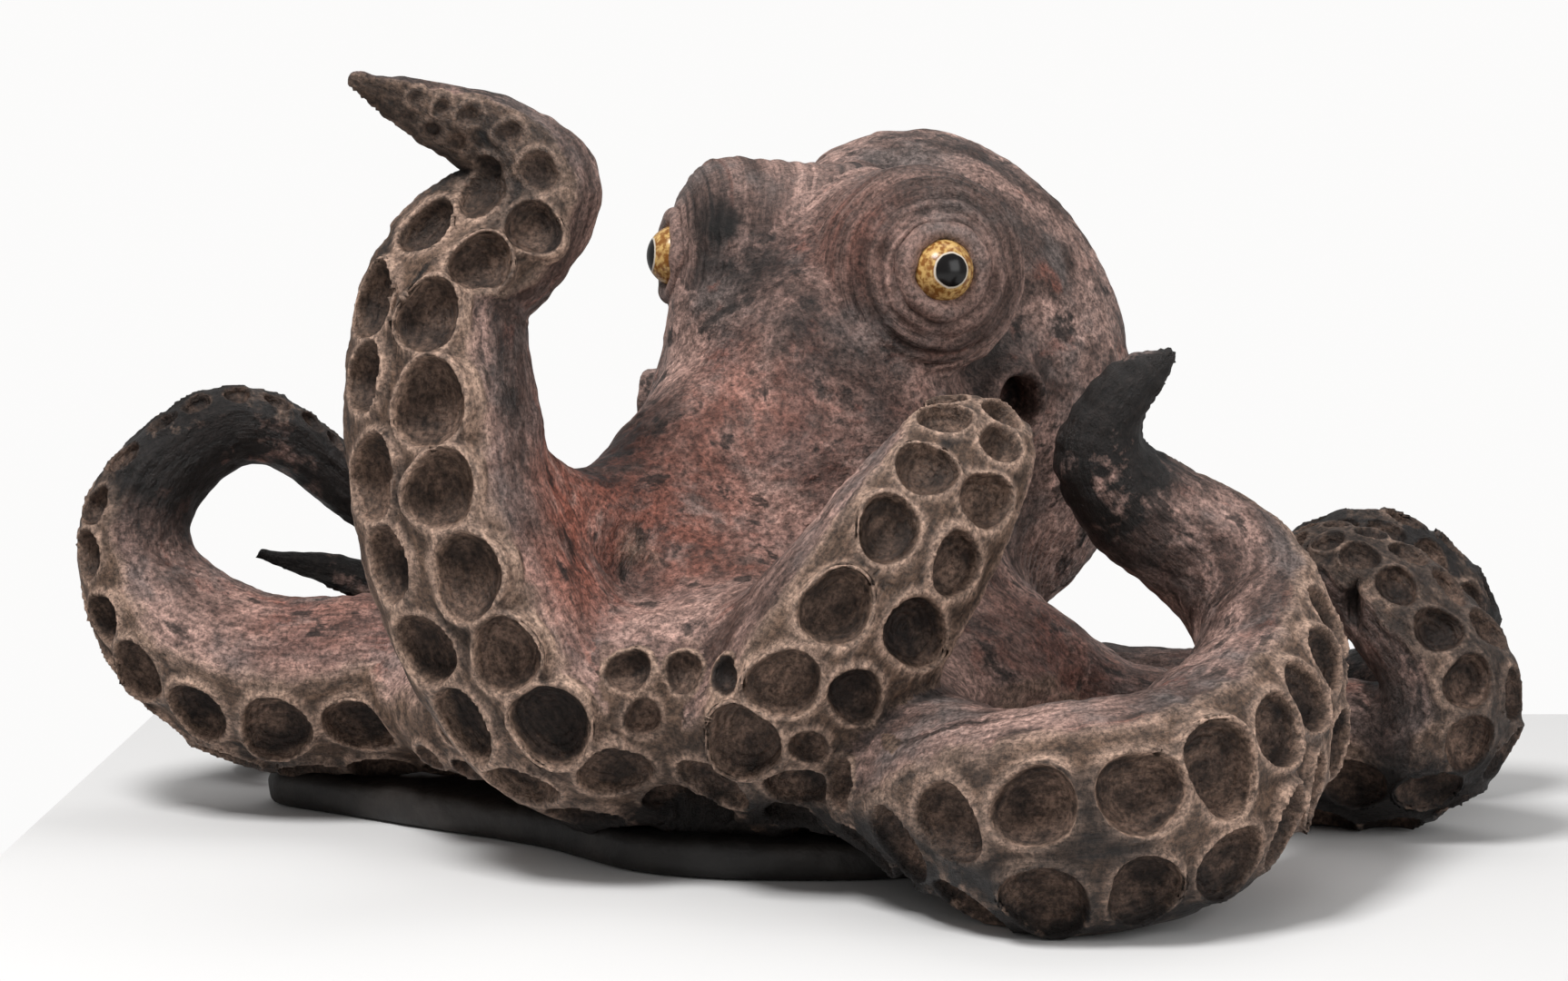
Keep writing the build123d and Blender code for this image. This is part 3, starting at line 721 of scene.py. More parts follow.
cup = np.zeros(len(points))
rim = np.zeros(len(points))
press_mm = np.zeros(len(points))
HIGH_CUP, LIGHT_CUP, DEEP_CUP, FAINT_CUP = 75, 0.45, 0.75, 0.35
CUP_ENDS, RIM_AT, RIM_WIDTH = 0.86, 0.93, 0.09
shade = np.random.default_rng(10).uniform(0, 1, len(suckers))
for (name, seat, axis, radius), twist, dark in zip(suckers, twists, shade):
    close = np.flatnonzero((np.abs(points - seat) < 1.4 * radius).all(1))
    height, ring = cup_ring(*(points[close] - seat).T, axis, twist)
    ring = ring / radius
    inside = falling(ring, CUP_ENDS, 0.10) * (height < 0.3 * radius) * (height > -0.9 * radius)
    edge = tent(ring, RIM_AT, RIM_WIDTH) * (height > -0.15 * radius)
    # Cups below HIGH_CUP get more of the dark cup colour, partly as painted shade.
    least = LIGHT_CUP if seat[2] > HIGH_CUP else DEEP_CUP
    tone = FAINT_CUP if is_faint(name, seat) else least + (1 - least) * dark
    # The middle of each cup is darker still: painted shade deep in the cup.
    cup[close] = np.maximum(cup[close], inside * np.minimum(tone + 0.2 * (1 - ring), 1))
    press_mm[close] = np.where(inside > 0, ring * radius, press_mm[close])
    rim[close] = np.maximum(rim[close], edge)
    oral[close] = np.maximum(oral[close], (ring < 1.02) * (height > -0.9 * radius))
lip = lip * (1 - cup) * (points[:, 2] > 8)
STEP_IN, WORN_UNDER, WORN_FADE = 3.0, 2.8, 1.8
STEP_OUT, CREVICE_UNDER, CREVICE_FADE = 5.0, 4.2, 2.8
RIM_PART, LIP_PART, WORN_PART = 0.55, 0.5, 0.6
worn = rising(field_at(points - STEP_IN * normals), -WORN_UNDER, WORN_FADE)
# Where clay stands close in front of a point, the point sits in a crevice and is darkened: painted shade.
crevice_shade = falling(field_at(points + STEP_OUT * normals), CREVICE_UNDER, CREVICE_FADE) * (1 - 0.75 * cup)
rim = np.maximum(RIM_PART * rim, LIP_PART * lip) + WORN_PART * worn * oral * (1 - cup)
print("share of oral face:", round(float((oral > 0.5).mean()), 2))

# %% [markdown]
# Smoke left black patches on the face, round the siphons and on some arm ends, and the iron in the clay
# went brick red in the web. Both are kept as soft spots: a place, a size and an amount. An arm that is
# smoked to its end has the share of its length where the smoke starts, where it is full, and an amount.
# The foot of the figure and the hollow under the front arms are darkened too, partly as smoke and partly as
# painted shade. At the end of this cell the hand marks are pressed into the skin.

# %% Smoke, painted shade and rust
SMOKED = {
    "front_right": (0.82, 0.90, 1.8), "left_curl": (0.50, 0.62, 1.2), "right_coil": (0.30, 0.6, 0.8),
    "right_loop": (0.2, 0.5, 1.1), "tall_left": (0.78, 0.9, 0.6),
}
SMOKE_SPOTS = [
    # The spot at (34, -44, 150), under the right turret's lip, is partly a painted shadow.
    (-56, -62, 106, 17, 0.8), (6, -42, 172, 22, 0.9), (34, -44, 150, 14, 0.8), (80, -4, 140, 20, 0.8),
    (-18, -14, 184, 20, 0.9), (-75, -84, 206, 17, 0.8), (-204, 20, 118, 22, 0.7), (-80, -112, 108, 9, 0.8),
    (-79, -110, 126, 9, 0.9), (-79, -108, 144, 9, 0.9), (-79, -106, 162, 9, 0.8), (-78, -102, 178, 9, 0.6),
    (-20, 0, 200, 14, 0.6), (60, -10, 205, 20, 0.5), (86, 40, 200, 26, 0.4), (14, -50, 120, 20, 0.5),
    (50, 20, 222, 30, 0.4), (-20, -70, 92, 14, 0.4), (62, -60, 62, 20, 0.5),
]
RUST_SPOTS = [
    (-64, -106, 92, 18, 0.9), (-66, -96, 118, 15, 0.8), (20, -40, 118, 22, 0.5), (-66, -58, 118, 26, 1.0),
    (-30, -66, 96, 30, 0.8), (-150, 0, 66, 26, 0.6), (78, -36, 56, 26, 0.8), (10, -34, 196, 20, 0.7),
    (-12, -34, 138, 22, 0.6), (-80, -60, 96, 24, 0.7), (52, -40, 140, 14, 0.5),
]
FOOT_SMOKE_AND_SHADE, FOOT_HEIGHT, FOOT_FADE = 1.2, 32, 26
HOLLOW_SHADE_AND_SMOKE, HOLLOW_HEIGHT, HOLLOW_FADE = 0.9, 58, 36
HOLLOW_SIDE, HOLLOW_FRONT = 70, -40
RIM_CALM, LIP_MM = 0.6, 1.1


def spots(places):
    """Soft spots added up at every point of the skin."""
    total = np.zeros(len(points))
    for x, y, z, size, amount in places:
        far = ((points - np.array([x, y, z]))**2).sum(1) / size**2
        total += amount * np.exp(-far)
    return total


smoke_and_shade = spots(SMOKE_SPOTS)
for name, (start, end, most) in SMOKED.items():
    mine = is_owner("arm_" + name)
    smoke_and_shade[mine] += most * rising(progress[mine], start, end - start)
# Darker towards the foot, partly as smoke and partly as painted shade near the table.
smoke_and_shade += FOOT_SMOKE_AND_SHADE * falling(points[:, 2], FOOT_HEIGHT, FOOT_FADE)
# Darker in the hollow under the front arms: painted shade, with some smoke.
shaded = falling(np.abs(points[:, 0]), HOLLOW_SIDE, 40) * (points[:, 1] < HOLLOW_FRONT)
smoke_and_shade += HOLLOW_SHADE_AND_SMOKE * shaded * falling(points[:, 2], HOLLOW_HEIGHT, HOLLOW_FADE)
rust = spots(RUST_SPOTS)
raised = (push * (1 - RIM_CALM * rim) + LIP_MM * lip) * standing * (1 - cup)
points = points + normals * raised[:, None]
points[:, 2] = np.maximum(points[:, 2], PLANED_MM)
normals = point_normals(points, quads)
print("smoke on", round(float((smoke_and_shade > 0.2).mean()), 2), "of the skin")

# %% [markdown]
# ## Split the skin into pieces
# Every piece of the real figure that was rolled or pinched on its own becomes its own object, with the
# suckers of an arm apart from its back. The borders follow the joints. Each patch gets an inner face a
# little way in, and a border strip, so that it is a closed shell of clay. Its normals are taken from the
# whole skin, which hides the borders.

# %% Border lines
label_names = owner_names + ["suckers_" + n for n in routes]
point_label = label.copy()
for name in routes:
    mine = is_owner("arm_" + name) & (oral > 0.5)
    point_label[mine] = label_names.index("suckers_" + name)


def most_common(groups, values, count):
    """The commonest value in each group."""
    tally = np.zeros((count, len(label_names)), np.int32)
    np.add.at(tally, (groups, values), 1)
    return tally.argmax(1)


for pass_number in range(4):
    corner_labels = point_label[quads]
    face_label = most_common(np.repeat(np.arange(len(quads)), 4), corner_labels.ravel(), len(quads))
    point_label = most_common(quads.ravel(), np.repeat(face_label, 4), len(points))
print("faces by piece:", {n: int((face_label == k).sum()) for k, n in enumerate(label_names) if n != "none"})

# %% [markdown]
# A mesh can be filled straight from arrays, which takes a moment even for a million points. The marks go
# with it as attributes of its points, and it gets the normals that it is given.

# %% Mesh from arrays
def make_object(name, verts_mm, faces, marks=None, vertex_normals=None):
    """New mesh object from points in millimetres and four-sided faces."""
    mesh = bpy.data.meshes.new(name)
    mesh.vertices.add(len(verts_mm))
    mesh.vertices.foreach_set("co", (np.asarray(verts_mm) * MM).astype(np.float32).ravel())
    mesh.loops.add(4 * len(faces))
    mesh.loops.foreach_set("vertex_index", np.asarray(faces, np.int32).ravel())
    mesh.polygons.add(len(faces))
    mesh.polygons.foreach_set("loop_start", np.arange(0, 4 * len(faces), 4, dtype=np.int32))
    mesh.polygons.foreach_set("use_smooth", np.ones(len(faces), bool))
    mesh.update(calc_edges=True)
    for mark, values in (marks or {}).items():
        values = np.asarray(values, np.float32)
        kind, field = ("FLOAT", "value") if values.ndim == 1 else ("FLOAT_VECTOR", "vector")
        attribute = mesh.attributes.new(mark, kind, "POINT")
        attribute.data.foreach_set(field, values.ravel())
    if vertex_normals is not None:
        mesh.normals_split_custom_set_from_vertices(vertex_normals.tolist())
    made = bpy.data.objects.new(name, mesh)
    scene.collection.objects.link(made)
    return made


print("mesh helper ready")

# %% [markdown]
# A maker drags a rib or a wet finger over the clay, and the finish follows the stroke: along an arm, round
# a turret, and more loosely over the body. Each point therefore gets coordinates that are squeezed along
# the stroke, and a noise laid in them comes out as streaks.

# %% Stroke coordinates
def comb_marks(part_name, place):
    """Coordinates that are stretched the way the clay was combed: along an arm, or round the body."""
    arm = part_name.split("_", 1)[-1]
    if part_name.startswith(("arm_", "suckers_")):
        best, sideways, up = along_arm(routes[arm], place)
        return np.stack([0.30 * routes[arm]["along"][best], sideways, up], 1)
    if part_name.startswith("turret_"):
        from_eye = place - EYES[arm]["ball"]
        depth = from_eye @ EYES[arm]["look"]
        flat = from_eye - depth[:, None] * EYES[arm]["look"]
        ring = np.linalg.norm(flat, axis=1)
        turn = flat / np.maximum(ring, 1)[:, None]
        return np.stack([3 * turn[:, 0], 3 * turn[:, 2], ring - 0.9 * depth], 1)
    around = np.stack([place[:, 0], place[:, 1]], 1) * 0.7
    return np.concatenate([around, (0.8 * place[:, 2] + 14 * lumps(place, 34, 9))[:, None]], 1)


print("stroke helper ready")

# %% [markdown]
# A patch of skin alone would be an open sheet. Its inner face is the same patch, moved in along the normals
# and turned round, and a strip closes each open edge. An edge is open when no face of the patch uses it the
# other way round.

# %% Closed shells
SHELL_MM = 1.2


def shell(name, part_name, chosen, thickness):
    """Closed shell from the chosen faces of the skin."""
    faces = quads[chosen]
    used, local = np.unique(faces, return_inverse=True)
    local = local.reshape(-1, 4)
    count = len(used)
    outer = points[used]
    inner = outer - normals[used] * thickness
    start = local.ravel()
    finish = np.roll(local, -1, axis=1).ravel()
    forward = start * count + finish
    open_edge = ~np.isin(forward, finish * count + start)
    a, b = start[open_edge], finish[open_edge]
    sides = np.stack([b, a, a + count, b + count], 1)
    every = np.concatenate([local, local[:, ::-1] + count, sides])
    marks = {"oral": oral, "cup": cup, "rim": rim, "smoke_and_shade": smoke_and_shade, "rust": rust, "press_mm": press_mm,
             "crevice_shade": crevice_shade}
    marks = {k: np.r_[v[used], v[used]] for k, v in marks.items()}
    combed = comb_marks(part_name, outer)
    marks["grain"] = np.concatenate([combed, combed])
    return make_object(name, np.r_[outer, inner], every, marks, np.r_[normals[used], -normals[used]])


PIECE_OF = {"crown": ("crown_web", "smoked_clay"), "head": ("head_shell", "smoked_clay"),
            "mantle": ("mantle_shell", "smoked_clay")}
for side in EYES:
    PIECE_OF["turret_" + side] = ("turret_" + side, "smoked_clay")
    PIECE_OF["siphon_" + side] = ("siphon_" + side, "smoked_clay")
for name in routes:
    PIECE_OF["arm_" + name] = ("arm_" + name, "smoked_clay")
    PIECE_OF["suckers_" + name] = ("suckers_" + name, "sucker_clay")
skin_pieces = []
for part_name, (node, slot_name) in PIECE_OF.items():
    chosen = face_label == label_names.index(part_name)
    piece = shell(node + "_skin", part_name, chosen, SHELL_MM)
    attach(piece, "root")
    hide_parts(node)
    skin_pieces.append(piece)
print("skin pieces:", len(skin_pieces))

# %% [markdown]
# ## Base slab
# The figure stands on a flat slab cut freehand from a sheet of clay. An extruded curve would give hard
# edges, so it is made with the same kind of field: the distance to its outline, negative inside. A point is
# inside when a line from it crosses the outline an odd number of times. The vent hole, which lets the hollow
# body dry and fire, is taken out.

# %% Slab outline
SLAB_OUTLINE = [(-172, 26), (-154, 8), (-110, -26), (-74, -56), (-46, -90), (4, -104), (52, -94), (84, -54),
                (94, 0), (80, 58), (32, 92), (-40, 94), (-110, 82), (-156, 58)]
SLAB_THICKNESS = 12.0
VENT = dict(centre=(-34, 28), radius=12.0)


def closed_curve(corners, count):
    """Smooth closed curve through corner points."""
    three_laps = np.array(corners * 3 + corners[:1], float)
    along = np.r_[0, np.cumsum(np.linalg.norm(np.diff(three_laps, axis=0), axis=1))]
    n = len(corners)
    wanted = np.linspace(along[n], along[2 * n], count, endpoint=False)
    return cubic_through(three_laps, along, wanted)


SLAB_CELL = 1.1
slab_low = np.array([-180.0, -112.0, -3.0])
slab_shape = np.ceil((np.array([102.0, 102.0, 16.0]) - slab_low) / SLAB_CELL).astype(int)
slab_axes = [slab_low[k] + SLAB_CELL * np.arange(slab_shape[k]) for k in range(3)]
edge = closed_curve(SLAB_OUTLINE, 500)
flat = np.stack(np.meshgrid(slab_axes[0], slab_axes[1], indexing="ij"), -1).reshape(-1, 2)
far = np.full(len(flat), 1e9)
crossings = np.zeros(len(flat), int)
for p, q in zip(edge, np.roll(edge, -1, axis=0)):
    d = q - p
    t = np.clip(((flat - p) @ d) / (d @ d), 0, 1)
    far = np.minimum(far, ((flat - p - t[:, None] * d)**2).sum(1))
    spans = (p[1] > flat[:, 1]) != (q[1] > flat[:, 1])
    with np.errstate(divide="ignore", invalid="ignore"):
        cross_x = p[0] + (flat[:, 1] - p[1]) / (q[1] - p[1]) * d[0]
    crossings += spans & (flat[:, 0] < cross_x)
outline = np.where(crossings % 2 == 1, -1, 1) * np.sqrt(far)
hole = VENT["radius"] - np.hypot(flat[:, 0] - VENT["centre"][0], flat[:, 1] - VENT["centre"][1])
outline = np.maximum(outline, hole).reshape(slab_shape[0], slab_shape[1], 1)
print("slab covers", round(float((outline < 0).sum()) * SLAB_CELL**2 / 100), "square centimetres")

# %% [markdown]
# The outline and the two flat faces are joined with a rounded maximum, which gives a soft, hand-cut edge.
# The surface is then drawn and roughened, apart from the face it stands on.

# %% Slab
SLAB_EDGE = 5.0
faces_field = np.maximum(-slab_axes[2], slab_axes[2] - SLAB_THICKNESS)[None, None, :]
slab_field = soft_max(outline + 0 * faces_field, faces_field + 0 * outline, SLAB_EDGE)
slab_grid = openvdb.FloatGrid(FAR)
slab_grid.copyFromArray(np.ascontiguousarray(np.clip(slab_field, -FAR, FAR).astype(np.float32)))
slab_points, slab_quads = slab_grid.convertToQuads(isovalue=0.0)
slab_points = np.asarray(slab_points, float) * SLAB_CELL + slab_low
slab_quads = np.asarray(slab_quads, int)
slab_normals = point_normals(slab_points, slab_quads)
if (slab_normals[:, 2] * (slab_points[:, 2] - SLAB_THICKNESS / 2)).mean() < 0:
    slab_quads = slab_quads[:, ::-1]
    slab_normals = -slab_normals
rough = hand_marks(slab_points, [(0.5, 12, 21), (0.3, 4, 22)]) * rising(slab_points[:, 2], 0, 3)
slab_points = slab_points + slab_normals * rough[:, None]
slab_points[:, 2] = np.maximum(slab_points[:, 2], 0.0)
slab = make_object("base_slab_plinth", slab_points, slab_quads)
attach(slab, "root")
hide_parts("base_slab")
print("slab faces:", len(slab_quads))

# %% [markdown]
# ## Eyes
# A ball of clay with a painted pupil sits in each turret. A ball made of rows has a pinched pole just where
# the pupil is, so this one is a cube with even squares on its sides, blown up to a ball. Each point keeps
# its angle from the middle of the pupil, so that the paint can be laid in rings.

# %% Eyeballs
def turned(vectors, look):
    """Vectors given along x, y and the eye's own z, turned so that z is the way it looks."""
    level = unit(np.cross([0, 0, 1], look))
    upright = np.cross(look, level)
    return vectors @ np.stack([level, upright, look])


def blown_cube(steps):
    """Points and outward faces of a ball made from a cube."""
    ticks = np.tan(np.linspace(-math.pi / 4, math.pi / 4, steps + 1))
    u, v = np.meshgrid(ticks, ticks, indexing="ij")
    sheets = []
    for turn in range(3):
        for sign in (1, -1):
            sheets.append(np.roll(np.stack([u, sign * v, 0 * u + sign], -1), turn, axis=-1))
    raw = unit(np.concatenate([s.reshape(-1, 3) for s in sheets]))
    spots, back = np.unique(np.round(raw, 6), axis=0, return_inverse=True)
    back = back.reshape(-1)
    index = np.arange((steps + 1)**2).reshape(steps + 1, -1)
    patch = np.stack([index[:-1, :-1], index[1:, :-1], index[1:, 1:], index[:-1, 1:]], -1).reshape(-1, 4)
    faces = np.concatenate([back[patch + k * (steps + 1)**2] for k in range(len(sheets))])
    spots = unit(spots)
    facing = np.cross(spots[faces[:, 1]] - spots[faces[:, 0]], spots[faces[:, 3]] - spots[faces[:, 0]])
    inward = (facing * spots[faces].mean(1)).sum(1) < 0
    faces[inward] = faces[inward][:, ::-1]
    return spots, faces


CUBE_STEPS = 48


def make_eyeball(side, eye):
    """The ball in one turret."""
    spots_on_ball, faces = blown_cube(CUBE_STEPS)
    gaze = np.degrees(np.arccos(np.clip(spots_on_ball[:, 2], -1, 1)))
    place = eye["ball"] + turned(spots_on_ball, eye["look"]) * EYEBALL_RADIUS
    ball = make_object("eyeball_" + side + "_glazed", place, faces, {"gaze": gaze})
    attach(ball, "root")
    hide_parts("eyeball_" + side)
    return ball


print("points on a ball:", len(blown_cube(CUBE_STEPS)[0]))

# %% [markdown]
# A thin roll of clay is laid round each eye as its lid. A plain ring would look machined, so its thickness
# swells and shrinks with two slow waves, as a roll does under the fingers. Each turret then gets its ball and
# its lid.

# %% Lids
LID_RADIUS, LID_ROLL, LID_LIFT = 12.5, 3.4, 1.0
LID_ROWS, LID_COLUMNS = 96, 28


def make_lid(number, side, eye):
    """The uneven ring round one eye. The number sets where its waves start."""
    turn = np.linspace(0, 2 * math.pi, LID_ROWS, endpoint=False)[:, None]
    roll = np.linspace(0, 2 * math.pi, LID_COLUMNS, endpoint=False)[None, :]
    thick = LID_ROLL * (1 + 0.12 * np.sin(3 * turn + number) + 0.07 * np.sin(7 * turn + 2 * number))
    reach = LID_RADIUS + thick * np.cos(roll)
    ring = np.stack([reach * np.cos(turn), reach * np.sin(turn), LID_LIFT + thick * np.sin(roll)], -1)
    index = np.arange(LID_ROWS * LID_COLUMNS).reshape(LID_ROWS, LID_COLUMNS)
    below = np.roll(index, -1, axis=0)
    corners = [index, below, np.roll(below, -1, axis=1), np.roll(index, -1, axis=1)]
    faces = np.stack(corners, -1).reshape(-1, 4)
    place = eye["ball"] + turned(ring.reshape(-1, 3), eye["look"])
    lid = make_object("lid_" + side + "_roll", place, faces)
    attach(lid, "root")
    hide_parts("lid_" + side)
    return lid


eyeballs, lids = [], []
for number, (side, eye) in enumerate(EYES.items()):
    eyeballs.append(make_eyeball(side, eye))
    lids.append(make_lid(number, side, eye))
print("eyeballs:", len(eyeballs), "lids:", len(lids))

# %% [markdown]
# ## Finish
# Each finish below is a tree of shader nodes. Placing nodes one by one makes long code, so the steps that
# come back are helpers. The first ones make a noise, a stretched value, a mix of two colours and a mark
# that is read from the points.

# %% Node helpers
def new_material(name):
    material = bpy.data.materials.new(name)
    material.use_nodes = True
    nodes, links = material.node_tree.nodes, material.node_tree.links
    return material, nodes, links, nodes["Principled BSDF"]


def noise(nodes, links, coordinates, scale, detail=3.0, rough=0.55):
    made = nodes.new("ShaderNodeTexNoise")
    made.inputs["Scale"].default_value = scale
    made.inputs["Detail"].default_value = detail
    made.inputs["Roughness"].default_value = rough
    links.new(coordinates, made.inputs["Vector"])
    return made.outputs["Fac"]


def ramp(nodes, links, value, low, high, from_value=0.0, to_value=1.0):
    """Value stretched so that low and high become the two given numbers."""
    made = nodes.new("ShaderNodeMapRange")
    sockets = ("From Min", "From Max", "To Min", "To Max")
    for socket, number in zip(sockets, (low, high, from_value, to_value)):
        made.inputs[socket].default_value = number
    made.interpolation_type = "SMOOTHSTEP"
    links.new(value, made.inputs["Value"])
    return made.outputs["Result"]


def mix(nodes, links, amount, first, second, mode="MIX"):
    """Colour mix; each of the three may be a socket or a fixed value."""
    made = nodes.new("ShaderNodeMix")
    made.data_type = "RGBA"
    made.blend_type = mode
    for socket, value in ((0, amount), (6, first), (7, second)):
        if isinstance(value, bpy.types.NodeSocket):
            links.new(value, made.inputs[socket])
        elif isinstance(value, tuple):
            made.inputs[socket].default_value = (*value, 1)
        else:
            made.inputs[socket].default_value = value
    return made.outputs[2]


def mark(nodes, name, output="Fac"):
    made = nodes.new("ShaderNodeAttribute")
    made.attribute_name = name
    return made.outputs[output]


print("first node helpers ready")

# %% [markdown]
# The rest of the helpers work on values: a product, a ripple, a tone laid over a colour and a bump laid
# over the bump under it.

# %% More node helpers
def both(nodes, links, first, second):
    """Product of two values, kept from 0 to 1."""
    made = nodes.new("ShaderNodeMath")
    made.operation = "MULTIPLY"
    made.use_clamp = True
    links.new(first, made.inputs[0])
    links.new(second, made.inputs[1])
    return made.outputs["Value"]


def sine(nodes, links, value, rate):
    """Ripple from 0 to 1."""
    fast = nodes.new("ShaderNodeMath")
    fast.operation = "MULTIPLY"
    fast.inputs[1].default_value = rate
    links.new(value, fast.inputs[0])
    wave = nodes.new("ShaderNodeMath")
    wave.operation = "SINE"
    links.new(fast.outputs["Value"], wave.inputs[0])
    return ramp(nodes, links, wave.outputs["Value"], -1, 1)


def toned(nodes, links, colour, level):
    """Colour made darker or lighter by a level round 1."""
    grey = nodes.new("ShaderNodeCombineColor")
    for channel in ("Red", "Green", "Blue"):
        links.new(level, grey.inputs[channel])
    return mix(nodes, links, 1.0, colour, grey.outputs["Color"], "MULTIPLY")


def bump(nodes, links, height, strength, distance, under=None):
    made = nodes.new("ShaderNodeBump")
    if under is not None:
        links.new(under, made.inputs["Normal"])
    made.inputs["Strength"].default_value = strength
    made.inputs["Distance"].default_value = distance
    links.new(height, made.inputs["Height"])
    return made.outputs["Normal"]


print("all node helpers ready")

# %% [markdown]
# The clay was burnished, then fired in smoke, so its colour drifts between pinkish tan, warm brown and
# grey, with brick red and black patches, under a fine speckle of grog. Photographs of clay would tie the
# figure to one shape, so the colour is noise at several sizes. Some of it lies in plain space and some in
# the stroke coordinates. The marks kept at the points lay the dark cups, pale edges, soot and painted shade
# over it.

# %% Colour of the smoked clay
PINK = (0.430, 0.272, 0.228)
BROWN = (0.080, 0.047, 0.038)
GREY = (0.145, 0.118, 0.110)
RUST = (0.270, 0.092, 0.062)
SOOT_AND_SHADE = (0.012, 0.009, 0.008)
BETWEEN_CUPS = (0.100, 0.060, 0.040)
CUP_BROWN = (0.150, 0.095, 0.070)
CUP_DARK = (0.022, 0.014, 0.011)
RIM_PALE = (0.385, 0.258, 0.194)


def clay_colour(nodes, links, coordinates, grain_spot):
    """Colour of the fired clay, with soot and painted shade laid over it, and the two heights that go with
    it.
    """
    def cloud(scale, low, high, detail=5, most=1.0, where=coordinates):
        """Patches of noise: none under the low value, the most of it over the high one."""
        return ramp(nodes, links, noise(nodes, links, where, scale, detail, 0.64), low, high, 0.0, most)

    skin = mix(nodes, links, cloud(0.050, 0.38, 0.62, 7, 1.0, grain_spot), BROWN, PINK)
    skin = mix(nodes, links, cloud(34, 0.46, 0.66, 5, 0.75), skin, GREY)
    skin = mix(nodes, links, cloud(0.080, 0.56, 0.70, 6, 0.55, grain_spot), skin, RUST)
    red = both(nodes, links, mark(nodes, "rust"), cloud(0.11, 0.30, 0.58, 6, 1.0, grain_spot))
    skin = mix(nodes, links, red, skin, RUST)
    skin = mix(nodes, links, mark(nodes, "oral"), skin, BETWEEN_CUPS)
    skin = mix(nodes, links, cloud(0.10, 0.56, 0.64, 6, 0.85, grain_spot), skin, SOOT_AND_SHADE)
    skin = mix(nodes, links, cloud(30, 0.58, 0.66, 6, 0.62), skin, SOOT_AND_SHADE)
    skin = mix(nodes, links, mark(nodes, "rim"), skin, RIM_PALE)
    # The smoke mark carries real smoke, and also painted shade low down and under the front arms.
    sooty_and_shaded = both(nodes, links, mark(nodes, "smoke_and_shade"), cloud(60, 0.25, 0.55))
    skin = mix(nodes, links, sooty_and_shaded, skin, SOOT_AND_SHADE)
    hollow = mix(nodes, links, cloud(46, 0.36, 0.62), CUP_BROWN, CUP_DARK)
    skin = mix(nodes, links, mark(nodes, "cup"), skin, hollow)
    # The crevice mark darkens the colour here: painted shade.
    skin = mix(nodes, links, ramp(nodes, links, mark(nodes, "crevice_shade"), 0.0, 1.0, 0.0, 0.8), skin, SOOT_AND_SHADE)
    streak = noise(nodes, links, grain_spot, 0.42, 4, 0.6)
    grit = noise(nodes, links, coordinates, 700, 5, 0.75)
    skin = toned(nodes, links, skin, ramp(nodes, links, streak, 0.30, 0.70, 0.55, 1.45))
    skin = toned(nodes, links, skin, ramp(nodes, links, grit, 0.32, 0.68, 0.38, 1.66))
    return skin, streak, grit


print("clay colours ready")

# %% [markdown]
# Burnished clay has a weak, patchy sheen, so the roughness comes from a noise too. The finest relief is
# bump: the rings that a turning thumb left in the cups, the strokes and the grit. All bigger forms are real
# geometry.

# %% Smoked clay
THUMB_RING_MM = 2.1
clay_finish, nodes, links, shader = new_material("smoked_clay")
coordinates = nodes.new("ShaderNodeTexCoord").outputs["Object"]
grain_spot = mark(nodes, "grain", "Vector")
skin, streak, grit = clay_colour(nodes, links, coordinates, grain_spot)
links.new(skin, shader.inputs["Base Color"])
gloss = ramp(nodes, links, noise(nodes, links, coordinates, 38, 4), 0.40, 0.66, 0.36, 0.72)
links.new(gloss, shader.inputs["Roughness"])
shader.inputs["Specular IOR Level"].default_value = 0.35
finger = sine(nodes, links, mark(nodes, "press_mm"), 2 * math.pi / THUMB_RING_MM)
relief = bump(nodes, links, both(nodes, links, finger, mark(nodes, "cup")), 0.5, 0.0006)
relief = bump(nodes, links, streak, 0.8, 0.0018, relief)
relief = bump(nodes, links, grit, 0.7, 0.0012, relief)
links.new(relief, shader.inputs["Normal"])
for piece in skin_pieces + lids:
    piece.data.materials.append(clay_finish)
print("clay on", len(skin_pieces) + len(lids), "pieces")

# %% [markdown]
# The slab took the most smoke and is almost black. A little cloud in its colour and a grain in its surface
# keep it from looking like plastic.

# %% Dark base
BASE_BLACK, BASE_BROWN = (0.012, 0.010, 0.009), (0.035, 0.028, 0.024)
base_finish, nodes, links, shader = new_material("dark_base")
coordinates = nodes.new("ShaderNodeTexCoord").outputs["Object"]
cloud = ramp(nodes, links, noise(nodes, links, coordinates, 22, 5), 0.42, 0.68)
colour = mix(nodes, links, cloud, BASE_BLACK, BASE_BROWN)
links.new(colour, shader.inputs["Base Color"])
shader.inputs["Roughness"].default_value = 0.6
links.new(bump(nodes, links, noise(nodes, links, coordinates, 420, 4), 0.4, 0.001), shader.inputs["Normal"])
slab.data.materials.append(base_finish)
print("base finish ready")

# %% [markdown]
# The eyes are the only glossy places: a black pupil, a thin cream ring and a mottled amber iris under clear
# glaze. The angle kept at each point decides which of the three it gets, and a little noise on the angle
# makes the brush edge uneven.

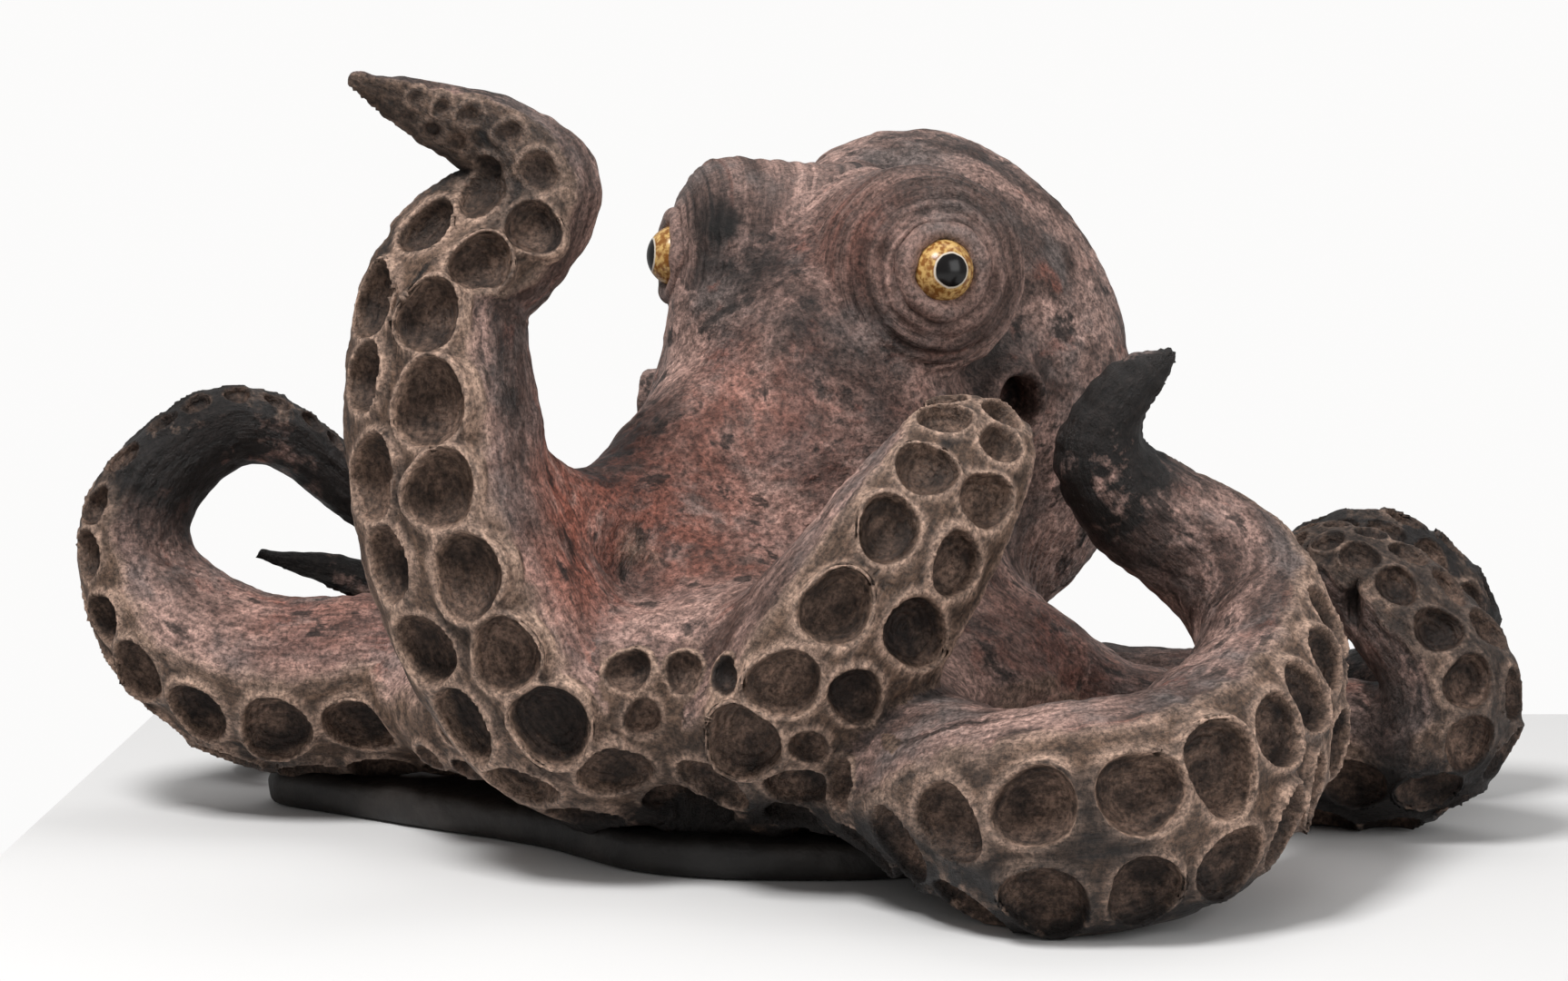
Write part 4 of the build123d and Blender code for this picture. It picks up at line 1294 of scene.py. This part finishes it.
# %% Painted eyes
PUPIL_BLACK, RING_CREAM = (0.006, 0.005, 0.005), (0.66, 0.58, 0.48)
AMBER_DARK, AMBER_LIGHT = (0.26, 0.105, 0.025), (0.66, 0.42, 0.15)
BRUSH_DEGREES = 5.0
PUPIL_DEGREES, RING_DEGREES = 33.0, 36.5
eye_finish, nodes, links, shader = new_material("eye_glaze")
coordinates = nodes.new("ShaderNodeTexCoord").outputs["Object"]
gaze = mark(nodes, "gaze")
wobble = nodes.new("ShaderNodeMath")
wobble.operation = "MULTIPLY_ADD"
links.new(noise(nodes, links, coordinates, 300, 2), wobble.inputs[0])
wobble.inputs[1].default_value = BRUSH_DEGREES
links.new(gaze, wobble.inputs[2])
angle = wobble.outputs["Value"]
mottle = ramp(nodes, links, noise(nodes, links, coordinates, 520, 4), 0.4, 0.62)
amber = mix(nodes, links, mottle, AMBER_DARK, AMBER_LIGHT)
past_pupil = ramp(nodes, links, angle, PUPIL_DEGREES, PUPIL_DEGREES + 2)
past_ring = ramp(nodes, links, angle, RING_DEGREES, RING_DEGREES + 2)
colour = mix(nodes, links, past_pupil, PUPIL_BLACK, RING_CREAM)
colour = mix(nodes, links, past_ring, colour, amber)
links.new(colour, shader.inputs["Base Color"])
shader.inputs["Roughness"].default_value = 0.22
shader.inputs["Specular IOR Level"].default_value = 0.35
for ball in eyeballs:
    ball.data.materials.append(eye_finish)
print("eye finish ready")

# %% [markdown]
# ## Studio
# The figure is shown on a plain pale floor that ends a little behind it and to its left. The floor is only
# there to take the soft shadow, so it is one flat face.

# %% Floor
FLOOR_LEFT, FLOOR_RIGHT, FLOOR_FRONT, FLOOR_BACK = -0.243, 2, -2, 0.215
FLOOR_PALE = (0.78, 0.775, 0.77, 1)
floor_corners = [(FLOOR_LEFT, FLOOR_FRONT, 0), (FLOOR_RIGHT, FLOOR_FRONT, 0),
                 (FLOOR_RIGHT, FLOOR_BACK, 0), (FLOOR_LEFT, FLOOR_BACK, 0)]
floor_mesh = bpy.data.meshes.new("floor")
floor_mesh.from_pydata(floor_corners, [], [(0, 1, 2, 3)])
floor = bpy.data.objects.new("floor", floor_mesh)
scene.collection.objects.link(floor)
floor_finish, nodes, links, shader = new_material("floor_white")
shader.inputs["Base Color"].default_value = FLOOR_PALE
shader.inputs["Roughness"].default_value = 0.9
shader.inputs["Specular IOR Level"].default_value = 0.2
floor.data.materials.append(floor_finish)
print("floor ready")

# %% [markdown]
# The sky gives even light from all round. It is white only where the camera looks straight at it, so that
# a white background puts no more light on the clay.

# %% Sky
SKY_LIGHT, SKY_SEEN = 0.33, 0.97
world = bpy.data.worlds.new("studio")
world.use_nodes = True
scene.world = world
nodes, links = world.node_tree.nodes, world.node_tree.links
background = nodes["Background"]
path = nodes.new("ShaderNodeLightPath")
strength = nodes.new("ShaderNodeMix")
links.new(path.outputs["Is Camera Ray"], strength.inputs[0])
strength.inputs[2].default_value = SKY_LIGHT
strength.inputs[3].default_value = SKY_SEEN
background.inputs["Color"].default_value = (1, 0.995, 0.99, 1)
links.new(strength.outputs[0], background.inputs["Strength"])
print("sky ready")

# %% [markdown]
# A soft box above, in front and to the left is the main light: it shades the upper half of every cup. A
# weak one behind lights the top of the mantle, and a wide one on the right keeps the coil from going black.

# %% Lamps
def area_light(name, place, target, size, watts):
    """Square soft box at a place, aimed at a target, all in metres."""
    data = bpy.data.lights.new(name, "AREA")
    data.size = size
    data.energy = watts
    lamp = bpy.data.objects.new(name, data)
    lamp.location = place
    aim = np.array(target) - np.array(place)
    lamp.rotation_euler = (math.acos(-aim[2] / np.linalg.norm(aim)), 0, math.atan2(aim[0], -aim[1]) + math.pi)
    scene.collection.objects.link(lamp)
    return lamp


area_light("key_box", place=(-0.45, -0.60, 1.30), target=(0, 0, 0.08), size=0.42, watts=17.5)
area_light("top_box", place=(0.3, 0.5, 1.3), target=(0, 0, 0.1), size=0.9, watts=3.0)
area_light("fill_box", place=(0.95, -0.85, 0.55), target=(0.05, 0, 0.1), size=0.8, watts=5.0)
scene.view_settings.view_transform = "Standard"
print("lamps ready")
